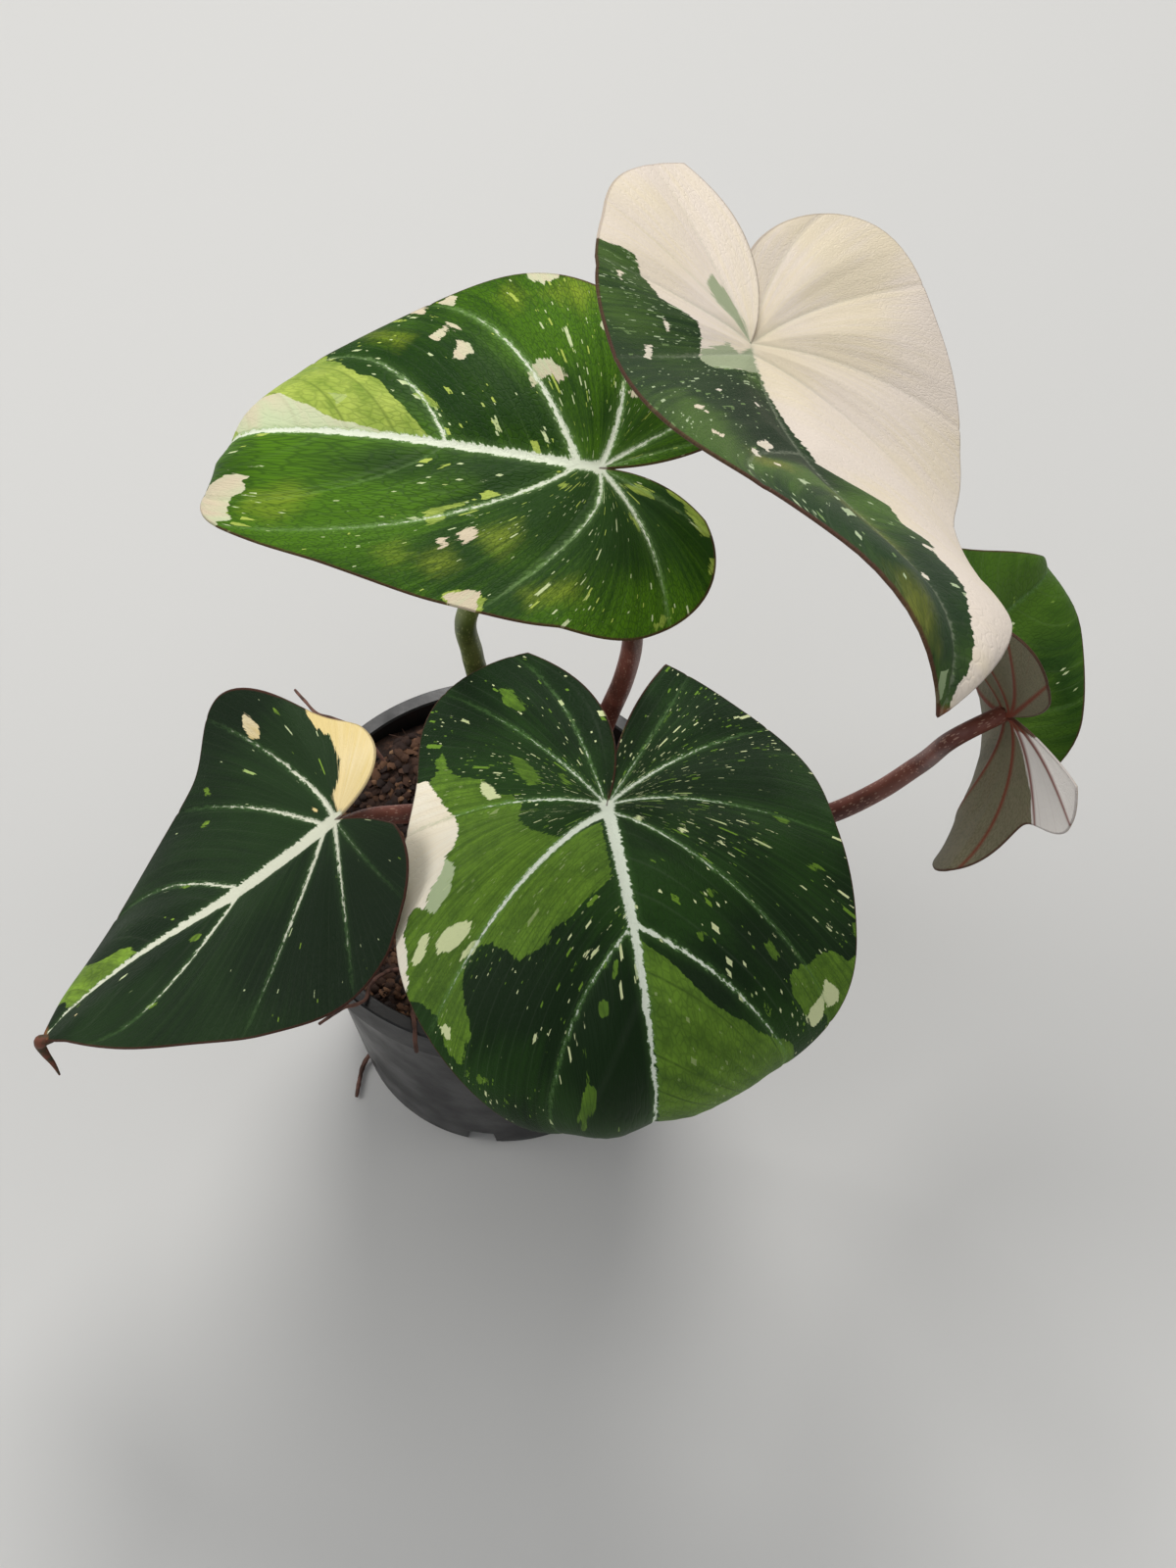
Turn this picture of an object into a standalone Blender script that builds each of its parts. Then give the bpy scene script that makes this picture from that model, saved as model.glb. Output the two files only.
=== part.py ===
"""Variegated Philodendron gloriosum growing in a black nursery pot.

Metres, +Z up.  The origin is the middle of the pot's base, where it stands.  -Y is the side that the
front leaf faces.  Sizes below are in millimetres and are turned into metres as the meshes are made.
"""
import math
from collections import namedtuple

import bmesh
import bpy
import numpy as np

MM = 0.001
GAP = 0.3                    # between pieces that touch

# Pot: a thin-walled nursery pot with a rim that folds over into a skirt
POT_HEIGHT = 100.0
POT_RIM_RADIUS = 60.0
POT_BASE_RADIUS = 45.0
POT_TOP_RADIUS = 57.3        # outside of the wall where it meets the rim
POT_WALL = 1.6
POT_FLOOR = 2.0
POT_SKIRT = 12.0
POT_EDGE = 0.5               # chamfers
POT_STEPS = 48
DRAIN_COUNT = 6
DRAIN_RADIUS = 5.0
DRAIN_RING = 42.5            # the notches cut the floor's edge and the foot of the wall
DRAIN_HEIGHT = 8.0
DRAIN_TURN = 202.0           # degrees from +X to the first notch

# Potting mix: mounded, and heaped against the rim at the back left
MIX_TOP = 87.0
MIX_MOUND = 2.5
MIX_HEAP = 9.0
MIX_HEAP_PLACE = (-30.0, 36.0)
MIX_HEAP_RADIUS = 20.0
MIX_BUMP = 1.3
MIX_RINGS = (9.0, 18.0, 27.0, 36.0, 45.0, 51.0)
MIX_STEPS = 24
MIX_SEED = 4

# Rhizome: the creeping stem, half sunk in the mix; the leaf stalks rise from it in sockets
RHIZOME_RADIUS = 6.5
RHIZOME_ROUTE = ((-16, 16, 84), (-8, 11, 86), (4, 5, 87), (16, 0, 87), (26, -5, 86), (32, -8, 85))
RHIZOME_POINTS = 12

# Leaf stalks, from the rhizome to just under the blade
STALK_RADIUS = 2.75
STALK_BASE = 1.22            # share of the radius at the foot and at the blade
STALK_TOP = 0.86
STALK_POINTS = 20
STALK_SEAT = 0.03            # where the stalk meets the blade, as a share of the blade past its notch
STALK_SEAT_GAP = 0.55        # from the blade's underside to the middle of the stalk's end
STALK_STRAIGHT = (9.0, 4.5)  # the last stretch stands square to the blade
STALK_SIDE_ON = {3: 2.05}    # a stalk that comes in through the notch ends this much lower instead
STALK_ROUTES = {
    1: ((16, 0, 86), (20, 14, 94), (30, 36, 110), (36, 29, 150), (38, 20, 182), (37, 8, 212), (34, 3, 240)),
    2: ((-8, 11, 86), (-8, 22, 98), (-5, 40, 128), (-6, 36, 152), (-6, 28, 186), (4, 28, 213),
        (18, 30, 236), (34, 34, 249), (50, 37, 258), (62, 34, 274), (65, 26, 294)),
    3: ((-1, 7, 86), (-4, 6, 104), (-10, -1, 128), (-18, -9, 142), (-26, -14, 150), (-33, -18, 155.5)),
    4: ((8, 3, 86), (12, -2, 104), (22, -10, 138), (29, -22, 165)),
    5: ((24, -4, 86), (38, 0, 99), (60, 4, 110), (94, 2, 122), (107, 2, 135), (116, 1, 150)),
}

# Roots that show: three come out of the mix over the rim, one out of a drainage notch
ROOT_RADIUS = {"back": 0.9, "forked": 0.9, "rim": 1.1, "drain": 1.1}
ROOT_POINTS = 14
ROOT_ROUTES = {
    "back": ((-28, 28, 86), (-33, 33, 96.5), (-38, 38, 101), (-41, 41, 101.6), (-45, 44, 101.6),
             (-49, 46, 101.2), (-53, 48, 100), (-58, 55, 96.5), (-61.5, 61.5, 92)),
    "forked": ((-24, -28, 84), (-27, -33, 94), (-31, -37, 100), (-35, -42, 102), (-36, -46, 101.6),
               (-39, -47.5, 101), (-42, -47.5, 99.5), (-45, -48, 96.5), (-49.5, -49, 92)),
    "rim": ((-24, -37, 84), (-23.5, -42, 94), (-23, -46.5, 100), (-22.5, -51, 102), (-22, -55, 102),
            (-21.8, -59, 100.6), (-21.5, -60.5, 98)),
    "drain": ((-33, -13.3, 6), (-38, -15.4, 4), (-42, -17, 2.4), (-43.8, -20, 1.5), (-44.8, -25, 1.4),
              (-45.5, -30.5, 1.4)),
}

# Blades: heart-shaped, each half with its own outline and its own bend
BLADE_THICKNESS = 1.0
BLADE_RIB = 0.6              # how far the veins stand out underneath
BLADE_MIDRIB = 1.0
BLADE_QUILT = 0.5            # how far the blade is puffed up between its veins
BLADE_STATIONS = (0.0, 0.06, 0.16, 0.32, 0.52, 0.74, 0.9, 1.0)   # along each vein, as shares
RIB_RISE = (0.0, 0.0, 0.0, 1.0, 1.0, 0.8, 0.4, 0.0)              # rib height at those stations
# Each main vein: where it starts and ends, as shares of the margin from the lobe's end to the tip
RIBS = ((0.12, 0.05), (0.24, 0.20), (0.38, 0.34), (0.455, 0.46), (0.52, 0.70), (0.68, 0.84))
RIB_SIDE = 0.012
VEIN_START = 0.45            # veins that end past this share leave the midrib beyond the joint
VEIN_START_POWER = 1.25
VEIN_BOW = 0.14              # how far a vein bows, as a share of its length
LOBE_SHARE = 0.18            # the part of the margin that lies along the notch
FOLD_WIDTH = 0.05            # the fold at the midrib, as a share of the blade
CURL_WIDTH = 0.6
TIP_START = 0.72
REACH_KNOTS = (0.0, 0.09, 0.21, 0.36, 0.54, 0.72, 0.88, 1.0)     # shares of the half's back angle

# A half: the angle from the tip round to the lobe's end, how far the notch bows, the fold at the
# midrib (joint, tip), the curl across (lobe, joint, tip) in degrees, and the outline's reach at the
# knots past the tip as shares of the blade's length.
Half = namedtuple("Half", "back bow fold curl reach")
# A leaf: its joint in mm, compass heading of the tip (0 = +Y, 90 = +X), pitch, roll, length in mm from
# joint to tip, then the bend along the midrib: rate, growth, tip hook, lobes, and the twist.
Leaf = namedtuple("Leaf", "joint heading pitch roll length bend sag tip lobes twist left right")
LEAVES = {
    1: Leaf((29, 4, 285), -79, 0, -9, 104, 10, -45, -64, 20, 9,
            Half(159, .22, (16, 7), (-31, -5, -21), (.92, .67, .52, .46, .46, .40, .28)),
            Half(161, .09, (21, -16), (-19, -9, -49), (.85, .68, .55, .40, .35, .31, .24))),
    2: Leaf((63, 9, 326), 174, 6, -34, 141, 100, -89, -71, 20, -14,
            Half(162, .28, (-2, 26), (5, -12, -83), (.75, .56, .45, .48, .48, .47, .32)),
            Half(166, .31, (-1, -7), (-12, 24, -36), (.70, .56, .39, .32, .31, .36, .37))),
    3: Leaf((-41, -24, 165), 245, -27, 27, 105, -2, -5, 1, -18, 0,
            Half(136, .02, (-1, -3), (-18, -44, -29), (.85, .69, .59, .52, .41, .31, .21)),
            Half(138, .10, (5, -7), (-46, 57, -26), (.83, .68, .55, .56, .34, .27, .21))),
    4: Leaf((31, -34, 190), 170, 20, 0, 129, -76, -106, -16, 10, -9,
            Half(155, .11, (-10, -2), (-32, -14, -19), (.87, .74, .57, .48, .49, .47, .48)),
            Half(171, .27, (-8, -2), (-17, -37, -52), (.85, .70, .56, .47, .43, .56, .55))),
    5: Leaf((137, -7, 190), -37, -30, 97, 90, 126, -32, -85, -10, -7,
            Half(148, .15, (-16, -14), (16, -15, -2), (.75, .61, .56, .51, .46, .41, .28)),
            Half(162, .03, (-21, 27), (22, -45, 57), (.89, .82, .66, .52, .32, .39, .33))),
}

COLOURS = {                  # name: (colour, roughness)
    "pot": ((0.012, 0.012, 0.013), 0.45),
    "potting_mix": ((0.10, 0.055, 0.032), 0.95),
    "rhizome": ((0.16, 0.13, 0.06), 0.7),
    "stalk": ((0.24, 0.10, 0.085), 0.55),
    "green_stalk": ((0.18, 0.22, 0.07), 0.55),
    "root": ((0.30, 0.18, 0.12), 0.75),
    "blade_1": ((0.07, 0.16, 0.05), 0.45),
    "blade_2": ((0.62, 0.55, 0.42), 0.45),
    "blade_3": ((0.025, 0.055, 0.032), 0.45),
    "blade_4": ((0.04, 0.085, 0.04), 0.45),
    "blade_5": ((0.22, 0.28, 0.15), 0.45),
}

GAUSS_X, GAUSS_W = np.polynomial.legendre.leggauss(6)
GAUSS_X, GAUSS_W = (GAUSS_X + 1) / 2, GAUSS_W / 2


# ---- scene, collections and materials ----

def clear_scene():
    for item in list(bpy.data.objects):
        bpy.data.objects.remove(item, do_unlink=True)


def new_collection(name):
    collection = bpy.data.collections.new(name)
    bpy.context.scene.collection.children.link(collection)
    return collection


def material(name):
    colour, roughness = COLOURS[name]
    mat = bpy.data.materials.new(name)
    mat.use_nodes = True
    shader = mat.node_tree.nodes["Principled BSDF"]
    shader.inputs["Base Color"].default_value = (*colour, 1.0)
    shader.inputs["Roughness"].default_value = roughness
    shader.inputs["Metallic"].default_value = 0.0
    return mat


def add_object(name, data, collection, look=None):
    item = bpy.data.objects.new(name, data)
    collection.objects.link(item)
    if look:
        data.materials.clear()
        data.materials.append(material(look))
    return item


def as_mesh(item, look=None):
    """A mesh object in place of a curve or of an object with modifiers, with its seams welded."""
    bpy.context.view_layer.update()
    evaluated = item.evaluated_get(bpy.context.evaluated_depsgraph_get())
    mesh = bpy.data.meshes.new_from_object(evaluated)
    shape = bmesh.new()
    shape.from_mesh(mesh)
    bmesh.ops.remove_doubles(shape, verts=shape.verts, dist=0.00001)
    bmesh.ops.recalc_face_normals(shape, faces=shape.faces)
    shape.to_mesh(mesh)
    shape.free()
    name, collection, place = item.name, item.users_collection[0], item.matrix_world.copy()
    bpy.data.objects.remove(item, do_unlink=True)
    result = add_object(name, mesh, collection, look)
    result.matrix_world = place
    return result


def make_cutter(item):
    item.hide_render = True
    item.display_type = "WIRE"


def cut(item, cutter):
    change = item.modifiers.new("cut_" + cutter.name, "BOOLEAN")
    change.operation = "DIFFERENCE"
    change.solver = "EXACT"
    change.object = cutter


# ---- curves ----

def hermite(knots, values, x):
    """A smooth curve through the values at the knots, read at x."""
    knots, values, x = (np.asarray(a, float) for a in (knots, values, x))
    step = np.diff(knots)
    slope = np.diff(values) / step
    tangent = np.empty(len(knots))
    tangent[1:-1] = (slope[:-1] * step[1:] + slope[1:] * step[:-1]) / (step[:-1] + step[1:])
    tangent[0] = 1.5 * slope[0] - 0.5 * tangent[1]
    tangent[-1] = 1.5 * slope[-1] - 0.5 * tangent[-2]
    i = np.clip(np.searchsorted(knots, x) - 1, 0, len(step) - 1)
    t = (x - knots[i]) / step[i]
    return ((2 * t**3 - 3 * t**2 + 1) * values[i] + (t**3 - 2 * t**2 + t) * step[i] * tangent[i]
            + (3 * t**2 - 2 * t**3) * values[i + 1] + (t**3 - t**2) * step[i] * tangent[i + 1])


def smooth_path(route, count):
    """Points along a smooth curve through the route's own points."""
    route = np.array(route, float)
    lengths = np.concatenate([[0.0], np.cumsum(np.linalg.norm(np.diff(route, axis=0), axis=1))])
    places = np.linspace(0.0, lengths[-1], count)
    return np.stack([hermite(lengths, route[:, axis], places) for axis in range(3)], axis=1)


def lengthened(path, by):
    """The path with both ends moved outward."""
    path = path.copy()
    for end, inner in ((0, 1), (-1, -2)):
        way = path[end] - path[inner]
        path[end] += by * way / np.linalg.norm(way)
    return path


def tube(name, path, radius, shares, collection, look=None):
    """A round tube along the path; shares are the radius factors at its start and its end."""
    curve = bpy.data.curves.new(name, "CURVE")
    curve.dimensions = "3D"
    curve.bevel_depth = radius * MM
    curve.bevel_resolution = 2
    curve.use_fill_caps = True
    spline = curve.splines.new("POLY")
    spline.points.add(len(path) - 1)
    for i, (point, place) in enumerate(zip(spline.points, path)):
        point.co = (*(place * MM), 1.0)
        point.radius = shares[0] + (shares[1] - shares[0]) * i / (len(path) - 1)
    return add_object(name, curve, collection, look)


def tube_cutter(name, path, radius, shares, collection):
    """The same tube, wider by the gap all round."""
    wide = [share + GAP / radius for share in shares]
    cutter = as_mesh(tube(name, lengthened(path, GAP), radius, wide, collection))
    make_cutter(cutter)
    return cutter


# ---- pot and potting mix ----

def wall_radius(height):
    return POT_BASE_RADIUS + (POT_TOP_RADIUS - POT_BASE_RADIUS) * height / POT_HEIGHT


def turned(name, profile, steps, collection, look):
    """A solid of revolution; the profile runs down its outer side from the top."""
    mesh = bpy.data.meshes.new(name)
    corners = [(radius * MM, 0.0, height * MM) for radius, height in profile]
    loop = [(i, (i + 1) % len(corners)) for i in range(len(corners))]
    if profile[0][0] == 0.0:
        loop.pop()
    mesh.from_pydata(corners, loop, [])
    item = add_object(name, mesh, collection, look)
    screw = item.modifiers.new("turn", "SCREW")
    screw.steps = screw.render_steps = steps
    screw.use_merge_vertices = True
    screw.merge_threshold = 0.00005
    screw.use_smooth_shade = False
    return item


def build_pot(parts, cutters):
    top, skirt = POT_HEIGHT, POT_HEIGHT - POT_SKIRT
    fold = top - POT_WALL
    inner = POT_TOP_RADIUS - POT_WALL
    profile = (
        (POT_RIM_RADIUS - POT_EDGE, top), (POT_RIM_RADIUS, top - POT_EDGE),
        (POT_RIM_RADIUS - POT_EDGE, skirt), (POT_RIM_RADIUS - POT_EDGE - POT_WALL, skirt),
        (POT_RIM_RADIUS - POT_WALL, fold), (wall_radius(fold), fold),
        (wall_radius(POT_EDGE), POT_EDGE), (POT_BASE_RADIUS - POT_EDGE, 0.0),
        (0.0, 0.0), (0.0, POT_FLOOR), (wall_radius(POT_FLOOR) - POT_WALL, POT_FLOOR),
        (inner, top - POT_EDGE), (inner + POT_EDGE, top),
    )
    pot = as_mesh(turned("pot", profile, POT_STEPS, parts, "pot"), "pot")
    for i in range(DRAIN_COUNT):
        turn = math.radians(DRAIN_TURN + 360.0 * i / DRAIN_COUNT)
        shape = bmesh.new()
        radius = DRAIN_RADIUS * MM
        bmesh.ops.create_cone(shape, cap_ends=True, segments=16, radius1=radius, radius2=radius,
                              depth=2 * DRAIN_HEIGHT * MM)
        mesh = bpy.data.meshes.new("drain_cut_%d" % (i + 1))
        shape.to_mesh(mesh)
        shape.free()
        cutter = add_object(mesh.name, mesh, cutters)
        cutter.location = (DRAIN_RING * MM * math.cos(turn), DRAIN_RING * MM * math.sin(turn), 0.0)
        make_cutter(cutter)
        cut(pot, cutter)


def mix_height(x, y):
    """How far the top of the mix stands above its edge."""
    mound = MIX_MOUND * (1 - (x * x + y * y) / POT_TOP_RADIUS**2)
    away = math.hypot(x - MIX_HEAP_PLACE[0], y - MIX_HEAP_PLACE[1]) / MIX_HEAP_RADIUS
    return mound + MIX_HEAP * math.exp(-away * away)


def build_mix(parts, cutter_list):
    edge = wall_radius(MIX_TOP) - POT_WALL - GAP
    foot = wall_radius(POT_FLOOR + GAP) - POT_WALL - GAP
    rings = (0.0, *MIX_RINGS, edge)
    profile = [(ring, MIX_TOP) for ring in rings] + [(foot, POT_FLOOR + GAP), (0.0, POT_FLOOR + GAP)]
    mix = as_mesh(turned("potting_mix", profile, MIX_STEPS, parts, "potting_mix"), "potting_mix")
    chance = np.random.default_rng(MIX_SEED)
    for vertex in mix.data.vertices:
        x, y, z = (c / MM for c in vertex.co)
        if z > MIX_TOP - 1.0:
            rise = mix_height(x, y) + chance.uniform(-MIX_BUMP, MIX_BUMP)
            vertex.co.z += rise * MM
            # the wall leans outward, so the edge follows it up
            if math.hypot(x, y) > edge - 1.0:
                limit = wall_radius(MIX_TOP + rise) - POT_WALL - GAP
                vertex.co.x *= limit / edge
                vertex.co.y *= limit / edge
    for cutter in cutter_list:
        cut(mix, cutter)


# ---- leaves ----

def leaf_axes(leaf):
    """Unit vectors toward the tip, to the right and out of the upper face, at the joint."""
    heading, pitch, roll = (math.radians(a) for a in (leaf.heading, leaf.pitch, leaf.roll))
    ahead = np.array([math.sin(heading) * math.cos(pitch), math.cos(heading) * math.cos(pitch),
                      math.sin(pitch)])
    level = np.array([math.cos(heading), -math.sin(heading), 0.0])
    up = np.cross(level, ahead)
    right = level * math.cos(roll) - up * math.sin(roll)
    return ahead, right, up * math.cos(roll) + level * math.sin(roll)


def midrib(leaf, v):
    """Forward and upward travel along the midrib to v, and its slope there, in radians."""
    def slope(x):
        hook = leaf.tip * np.clip(x - TIP_START, 0, None)**2 / (1 - TIP_START)**2
        return np.radians(np.where(x > 0, leaf.bend * x + leaf.sag * x * x + hook, leaf.lobes * x))
    angles = slope(v[..., None] * GAUSS_X)
    return (np.cos(angles) * GAUSS_W).sum(-1) * v, (np.sin(angles) * GAUSS_W).sum(-1) * v, slope(v)


def bend(leaf, u, v):
    """Where the flat point (u to the right, v toward the tip, as shares of the length) lies, in mm."""
    u, v = np.asarray(u, float), np.asarray(v, float)
    ahead, right, up = leaf_axes(leaf)
    forward, rise, slope = midrib(leaf, v)
    across = np.abs(u)
    side = [np.where(u > 0, r, l) for r, l in zip((*leaf.right.fold, *leaf.right.curl),
                                                  (*leaf.left.fold, *leaf.left.curl))]
    fold_joint, fold_tip, curl_lobe, curl_joint, curl_tip = side
    v = np.clip(v, -0.5, 1.0)
    past, behind = np.clip(v, 0, 1), np.clip(-v / 0.4, 0, 1)
    fold = np.radians(fold_joint + (fold_tip - fold_joint) * past)
    curl = np.radians(curl_joint + (curl_tip - curl_joint) * past + (curl_lobe - curl_joint) * behind)
    x = across[..., None] * GAUSS_X
    angle = fold[..., None] * (1 - np.exp(-x / FOLD_WIDTH)) + curl[..., None] * x / CURL_WIDTH
    out, lift = (np.cos(angle) * GAUSS_W).sum(-1) * across, (np.sin(angle) * GAUSS_W).sum(-1) * across
    twist = math.radians(leaf.twist) * v
    sideways = np.sign(u) * out * np.cos(twist) + lift * np.sin(twist)
    outward = lift * np.cos(twist) - np.sign(u) * out * np.sin(twist)
    normal = np.cos(slope)[..., None] * up - np.sin(slope)[..., None] * ahead
    return np.array(leaf.joint) + leaf.length * (
        forward[..., None] * ahead + rise[..., None] * up
        + sideways[..., None] * right + outward[..., None] * normal)


def blade_normal(leaf, u, v):
    step = 0.002
    along_u = bend(leaf, u + step, v) - bend(leaf, u - step, v)
    along_v = bend(leaf, u, v + step) - bend(leaf, u, v - step)
    normal = np.cross(along_u, along_v)
    return normal / np.linalg.norm(normal, axis=-1, keepdims=True)


def vein_point(half, start, end, t):
    """The flat point at share t of the vein between two margin shares."""
    share = start + (end - start) * t
    angle = half.back * (1 - share)
    reach = hermite([k * half.back for k in REACH_KNOTS], [1.0, *half.reach], angle)
    edge_u, edge_v = reach * math.sin(math.radians(angle)), reach * math.cos(math.radians(angle))
    past = max(share - VEIN_START, 0.0) / (1 - VEIN_START)
    base = past**VEIN_START_POWER
    ahead = edge_v - base
    bow = VEIN_BOW + (half.bow - VEIN_BOW) * max(1 - share / LOBE_SHARE, 0.0)**2
    middle_u, middle_v = 0.5 * edge_u + bow * ahead, base + 0.5 * ahead - bow * edge_u
    u = 2 * t * (1 - t) * middle_u + t * t * edge_u
    return u, (1 - t)**2 * base + 2 * t * (1 - t) * middle_v + t * t * edge_v


def blade_lines():
    """The mesh's lines as (start, end, kind): each rib, a line close by on both sides, and one between."""
    lines = [(0.0, 0.0, "edge")]
    for start, end in RIBS:
        lines.append(((lines[-1][0] + start) / 2, (lines[-1][1] + end) / 2, "between"))
        lines += [(start - RIB_SIDE, end - RIB_SIDE, "beside"), (start, end, "rib"),
                  (start + RIB_SIDE, end + RIB_SIDE, "beside")]
    lines.append(((lines[-1][0] + 1) / 2, (lines[-1][1] + 1) / 2, "between"))
    lines.append((1.0, 1.0, "edge"))
    return lines


def flat_mesh(leaf):
    """The blade laid flat: its points, how far each is puffed and ribbed, and its triangles."""
    index, points, puffs, ribs, triangles = {}, [], [], [], []

    def corner(side, half, line, station):
        start, end, kind = line
        t = BLADE_STATIONS[station]
        u, v = vein_point(half, start, end, t)
        key = (round(side * u, 5) + 0.0, round(v, 5) + 0.0)
        if key not in index:
            index[key] = len(points)
            points.append(key)
            on_midrib = key[0] == 0.0 and 0.08 < v < 0.97
            puffs.append(BLADE_QUILT * math.sin(math.pi * t) if kind == "between" else 0.0)
            ribs.append(BLADE_MIDRIB * (1 - 0.7 * v) if on_midrib
                        else BLADE_RIB * RIB_RISE[station] * (kind == "rib"))
        return index[key]

    def add(*corners):
        if len(set(corners)) == 3:
            (au, av), (bu, bv), (cu, cv) = (points[i] for i in corners)
            turn = (bu - au) * (cv - av) - (cu - au) * (bv - av)
            triangles.append(corners if turn > 0 else corners[::-1])

    lines = blade_lines()
    for side, half in ((1, leaf.right), (-1, leaf.left)):
        for first, second in zip(lines, lines[1:]):
            for i in range(len(BLADE_STATIONS) - 1):
                a, b = corner(side, half, first, i), corner(side, half, second, i)
                c, d = corner(side, half, second, i + 1), corner(side, half, first, i + 1)
                add(a, b, c)
                add(a, c, d)
    return np.array(points), np.array(puffs), np.array(ribs), triangles


def build_blade(number, leaf, parts):
    """Two faces with the same triangles, joined round the margin."""
    points, puffs, ribs, triangles = flat_mesh(leaf)
    middle = bend(leaf, points[:, 0], points[:, 1])
    normal = blade_normal(leaf, points[:, 0], points[:, 1])
    upper = middle + normal * (puffs + BLADE_THICKNESS / 2)[:, None]
    under = middle + normal * (puffs - ribs - BLADE_THICKNESS / 2)[:, None]
    count = len(points)
    faces = [tuple(t) for t in triangles] + [tuple(i + count for i in t[::-1]) for t in triangles]
    edges = {(t[i], t[(i + 1) % 3]) for t in triangles for i in range(3)}
    for first, second in sorted(edges):
        if (second, first) not in edges:
            faces += [(second, first, first + count), (second, first + count, second + count)]
    name = "blade_%d" % number
    mesh = bpy.data.meshes.new(name)
    mesh.from_pydata([tuple(p * MM) for p in np.concatenate([upper, under])], [], faces)
    mesh.validate()
    mesh.shade_smooth()
    return add_object(name, mesh, parts, name)


def stalk_path(number, leaf):
    """The stalk's route, ending just under the blade, and square to it unless it comes in side on."""
    seat = np.array([STALK_SEAT])
    normal = blade_normal(leaf, np.array([0.0]), seat)[0]
    drop = BLADE_THICKNESS / 2 + STALK_SEAT_GAP + STALK_SIDE_ON.get(number, 0.0)
    end = bend(leaf, np.array([0.0]), seat)[0] - normal * drop
    straight = () if number in STALK_SIDE_ON else STALK_STRAIGHT
    last = [tuple(end - normal * back) for back in (*straight, 0.0)]
    return smooth_path((*STALK_ROUTES[number], *last), STALK_POINTS)


def build_leaves(parts, cutters):
    """The blades and their stalks; gives back a cutter for each stalk's foot."""
    result = []
    for number, leaf in LEAVES.items():
        build_blade(number, leaf, parts)
        path = stalk_path(number, leaf)
        shares = (STALK_BASE, STALK_TOP)
        look = "green_stalk" if number == 2 else "stalk"
        tube("petiole_%d" % number, path, STALK_RADIUS, shares, parts, look)
        result.append(tube_cutter("petiole_cut_%d" % number, path, STALK_RADIUS, shares, cutters))
    return result


def build_rhizome(parts, cutters, stalk_cutters):
    path = smooth_path(RHIZOME_ROUTE, RHIZOME_POINTS)
    shares = (0.8, 1.0)
    rhizome = as_mesh(tube("rhizome", path, RHIZOME_RADIUS, shares, parts, "rhizome"), "rhizome")
    for cutter in stalk_cutters:
        cut(rhizome, cutter)
    return tube_cutter("rhizome_cut", path, RHIZOME_RADIUS, shares, cutters)


def build_roots(parts, cutters):
    result = []
    for name, route in ROOT_ROUTES.items():
        path = smooth_path(route, ROOT_POINTS)
        radius, shares = ROOT_RADIUS[name], (1.1, 0.8)
        tube("root_" + name, path, radius, shares, parts, "root")
        result.append(tube_cutter("root_cut_" + name, path, radius, shares, cutters))
    return result


def build():
    clear_scene()
    parts = new_collection("philodendron_gloriosum")
    cutters = new_collection("cutters")
    build_pot(parts, cutters)
    stalk_cutters = build_leaves(parts, cutters)
    rhizome_cutter = build_rhizome(parts, cutters, stalk_cutters)
    root_cutters = build_roots(parts, cutters)
    build_mix(parts, [*stalk_cutters, rhizome_cutter, *root_cutters])


build()
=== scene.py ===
import math
import random
from collections import namedtuple
from functools import partial

import bmesh
import bpy
import numpy as np
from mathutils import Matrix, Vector


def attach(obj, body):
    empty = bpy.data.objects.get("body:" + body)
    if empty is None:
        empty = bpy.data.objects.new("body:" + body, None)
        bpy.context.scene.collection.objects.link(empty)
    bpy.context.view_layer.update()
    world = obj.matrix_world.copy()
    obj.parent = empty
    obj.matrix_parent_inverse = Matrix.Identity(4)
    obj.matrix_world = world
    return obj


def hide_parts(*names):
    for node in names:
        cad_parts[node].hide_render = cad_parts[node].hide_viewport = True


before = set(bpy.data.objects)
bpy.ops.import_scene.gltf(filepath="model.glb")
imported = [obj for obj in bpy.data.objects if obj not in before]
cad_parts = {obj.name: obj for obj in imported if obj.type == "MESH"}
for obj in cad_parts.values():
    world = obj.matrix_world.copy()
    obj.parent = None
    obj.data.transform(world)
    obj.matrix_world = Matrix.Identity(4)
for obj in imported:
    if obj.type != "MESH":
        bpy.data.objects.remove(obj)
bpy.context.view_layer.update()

# ---- Camera, floor and light ----
# The plant stands on a plain pale floor and is looked down on at sixty degrees, under one large soft
# light from behind and above, weaker ones from the sides and the front, and an even pale sky.
CAMERA_PLACE = (0.0262, -0.4317, 0.8900)
CAMERA_PITCH = 60.0            # degrees below the horizon
CAMERA_LENS = 71.9             # mm, on a sensor of the next size along the picture's long side
CAMERA_SENSOR = 36.0
CAMERA_NEAR = 0.01
FLOOR_SIZE = 60.0
FLOOR_COLOUR = (0.66, 0.655, 0.64)
FLOOR_ROUGHNESS = 0.75
SKY_COLOUR = (0.93, 0.96, 1.0)
SKY_STRENGTH = 0.24
# name: (place, target, size, power in W, colour)
SOFT_LIGHTS = {
    "window": ((0.05, 0.95, 1.3), (0.0, 0.0, 0.2), 0.75, 14.5, (1.0, 0.985, 0.96)),
    "left_fill": ((-1.0, -0.05, 1.0), (0.0, 0.0, 0.2), 0.8, 6.0, (1.0, 0.99, 0.97)),
    "right_fill": ((0.95, -0.1, 0.8), (0.0, 0.0, 0.25), 0.7, 1.8, (1.0, 0.985, 0.96)),
    "front_fill": ((-0.3, -0.95, 1.05), (0.0, 0.0, 0.2), 0.8, 2.0, (0.98, 0.99, 1.0)),
}

scene = bpy.context.scene
scene.view_settings.view_transform = "Standard"


def add_object(name, data):
    item = bpy.data.objects.new(name, data)
    scene.collection.objects.link(item)
    return item


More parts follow.
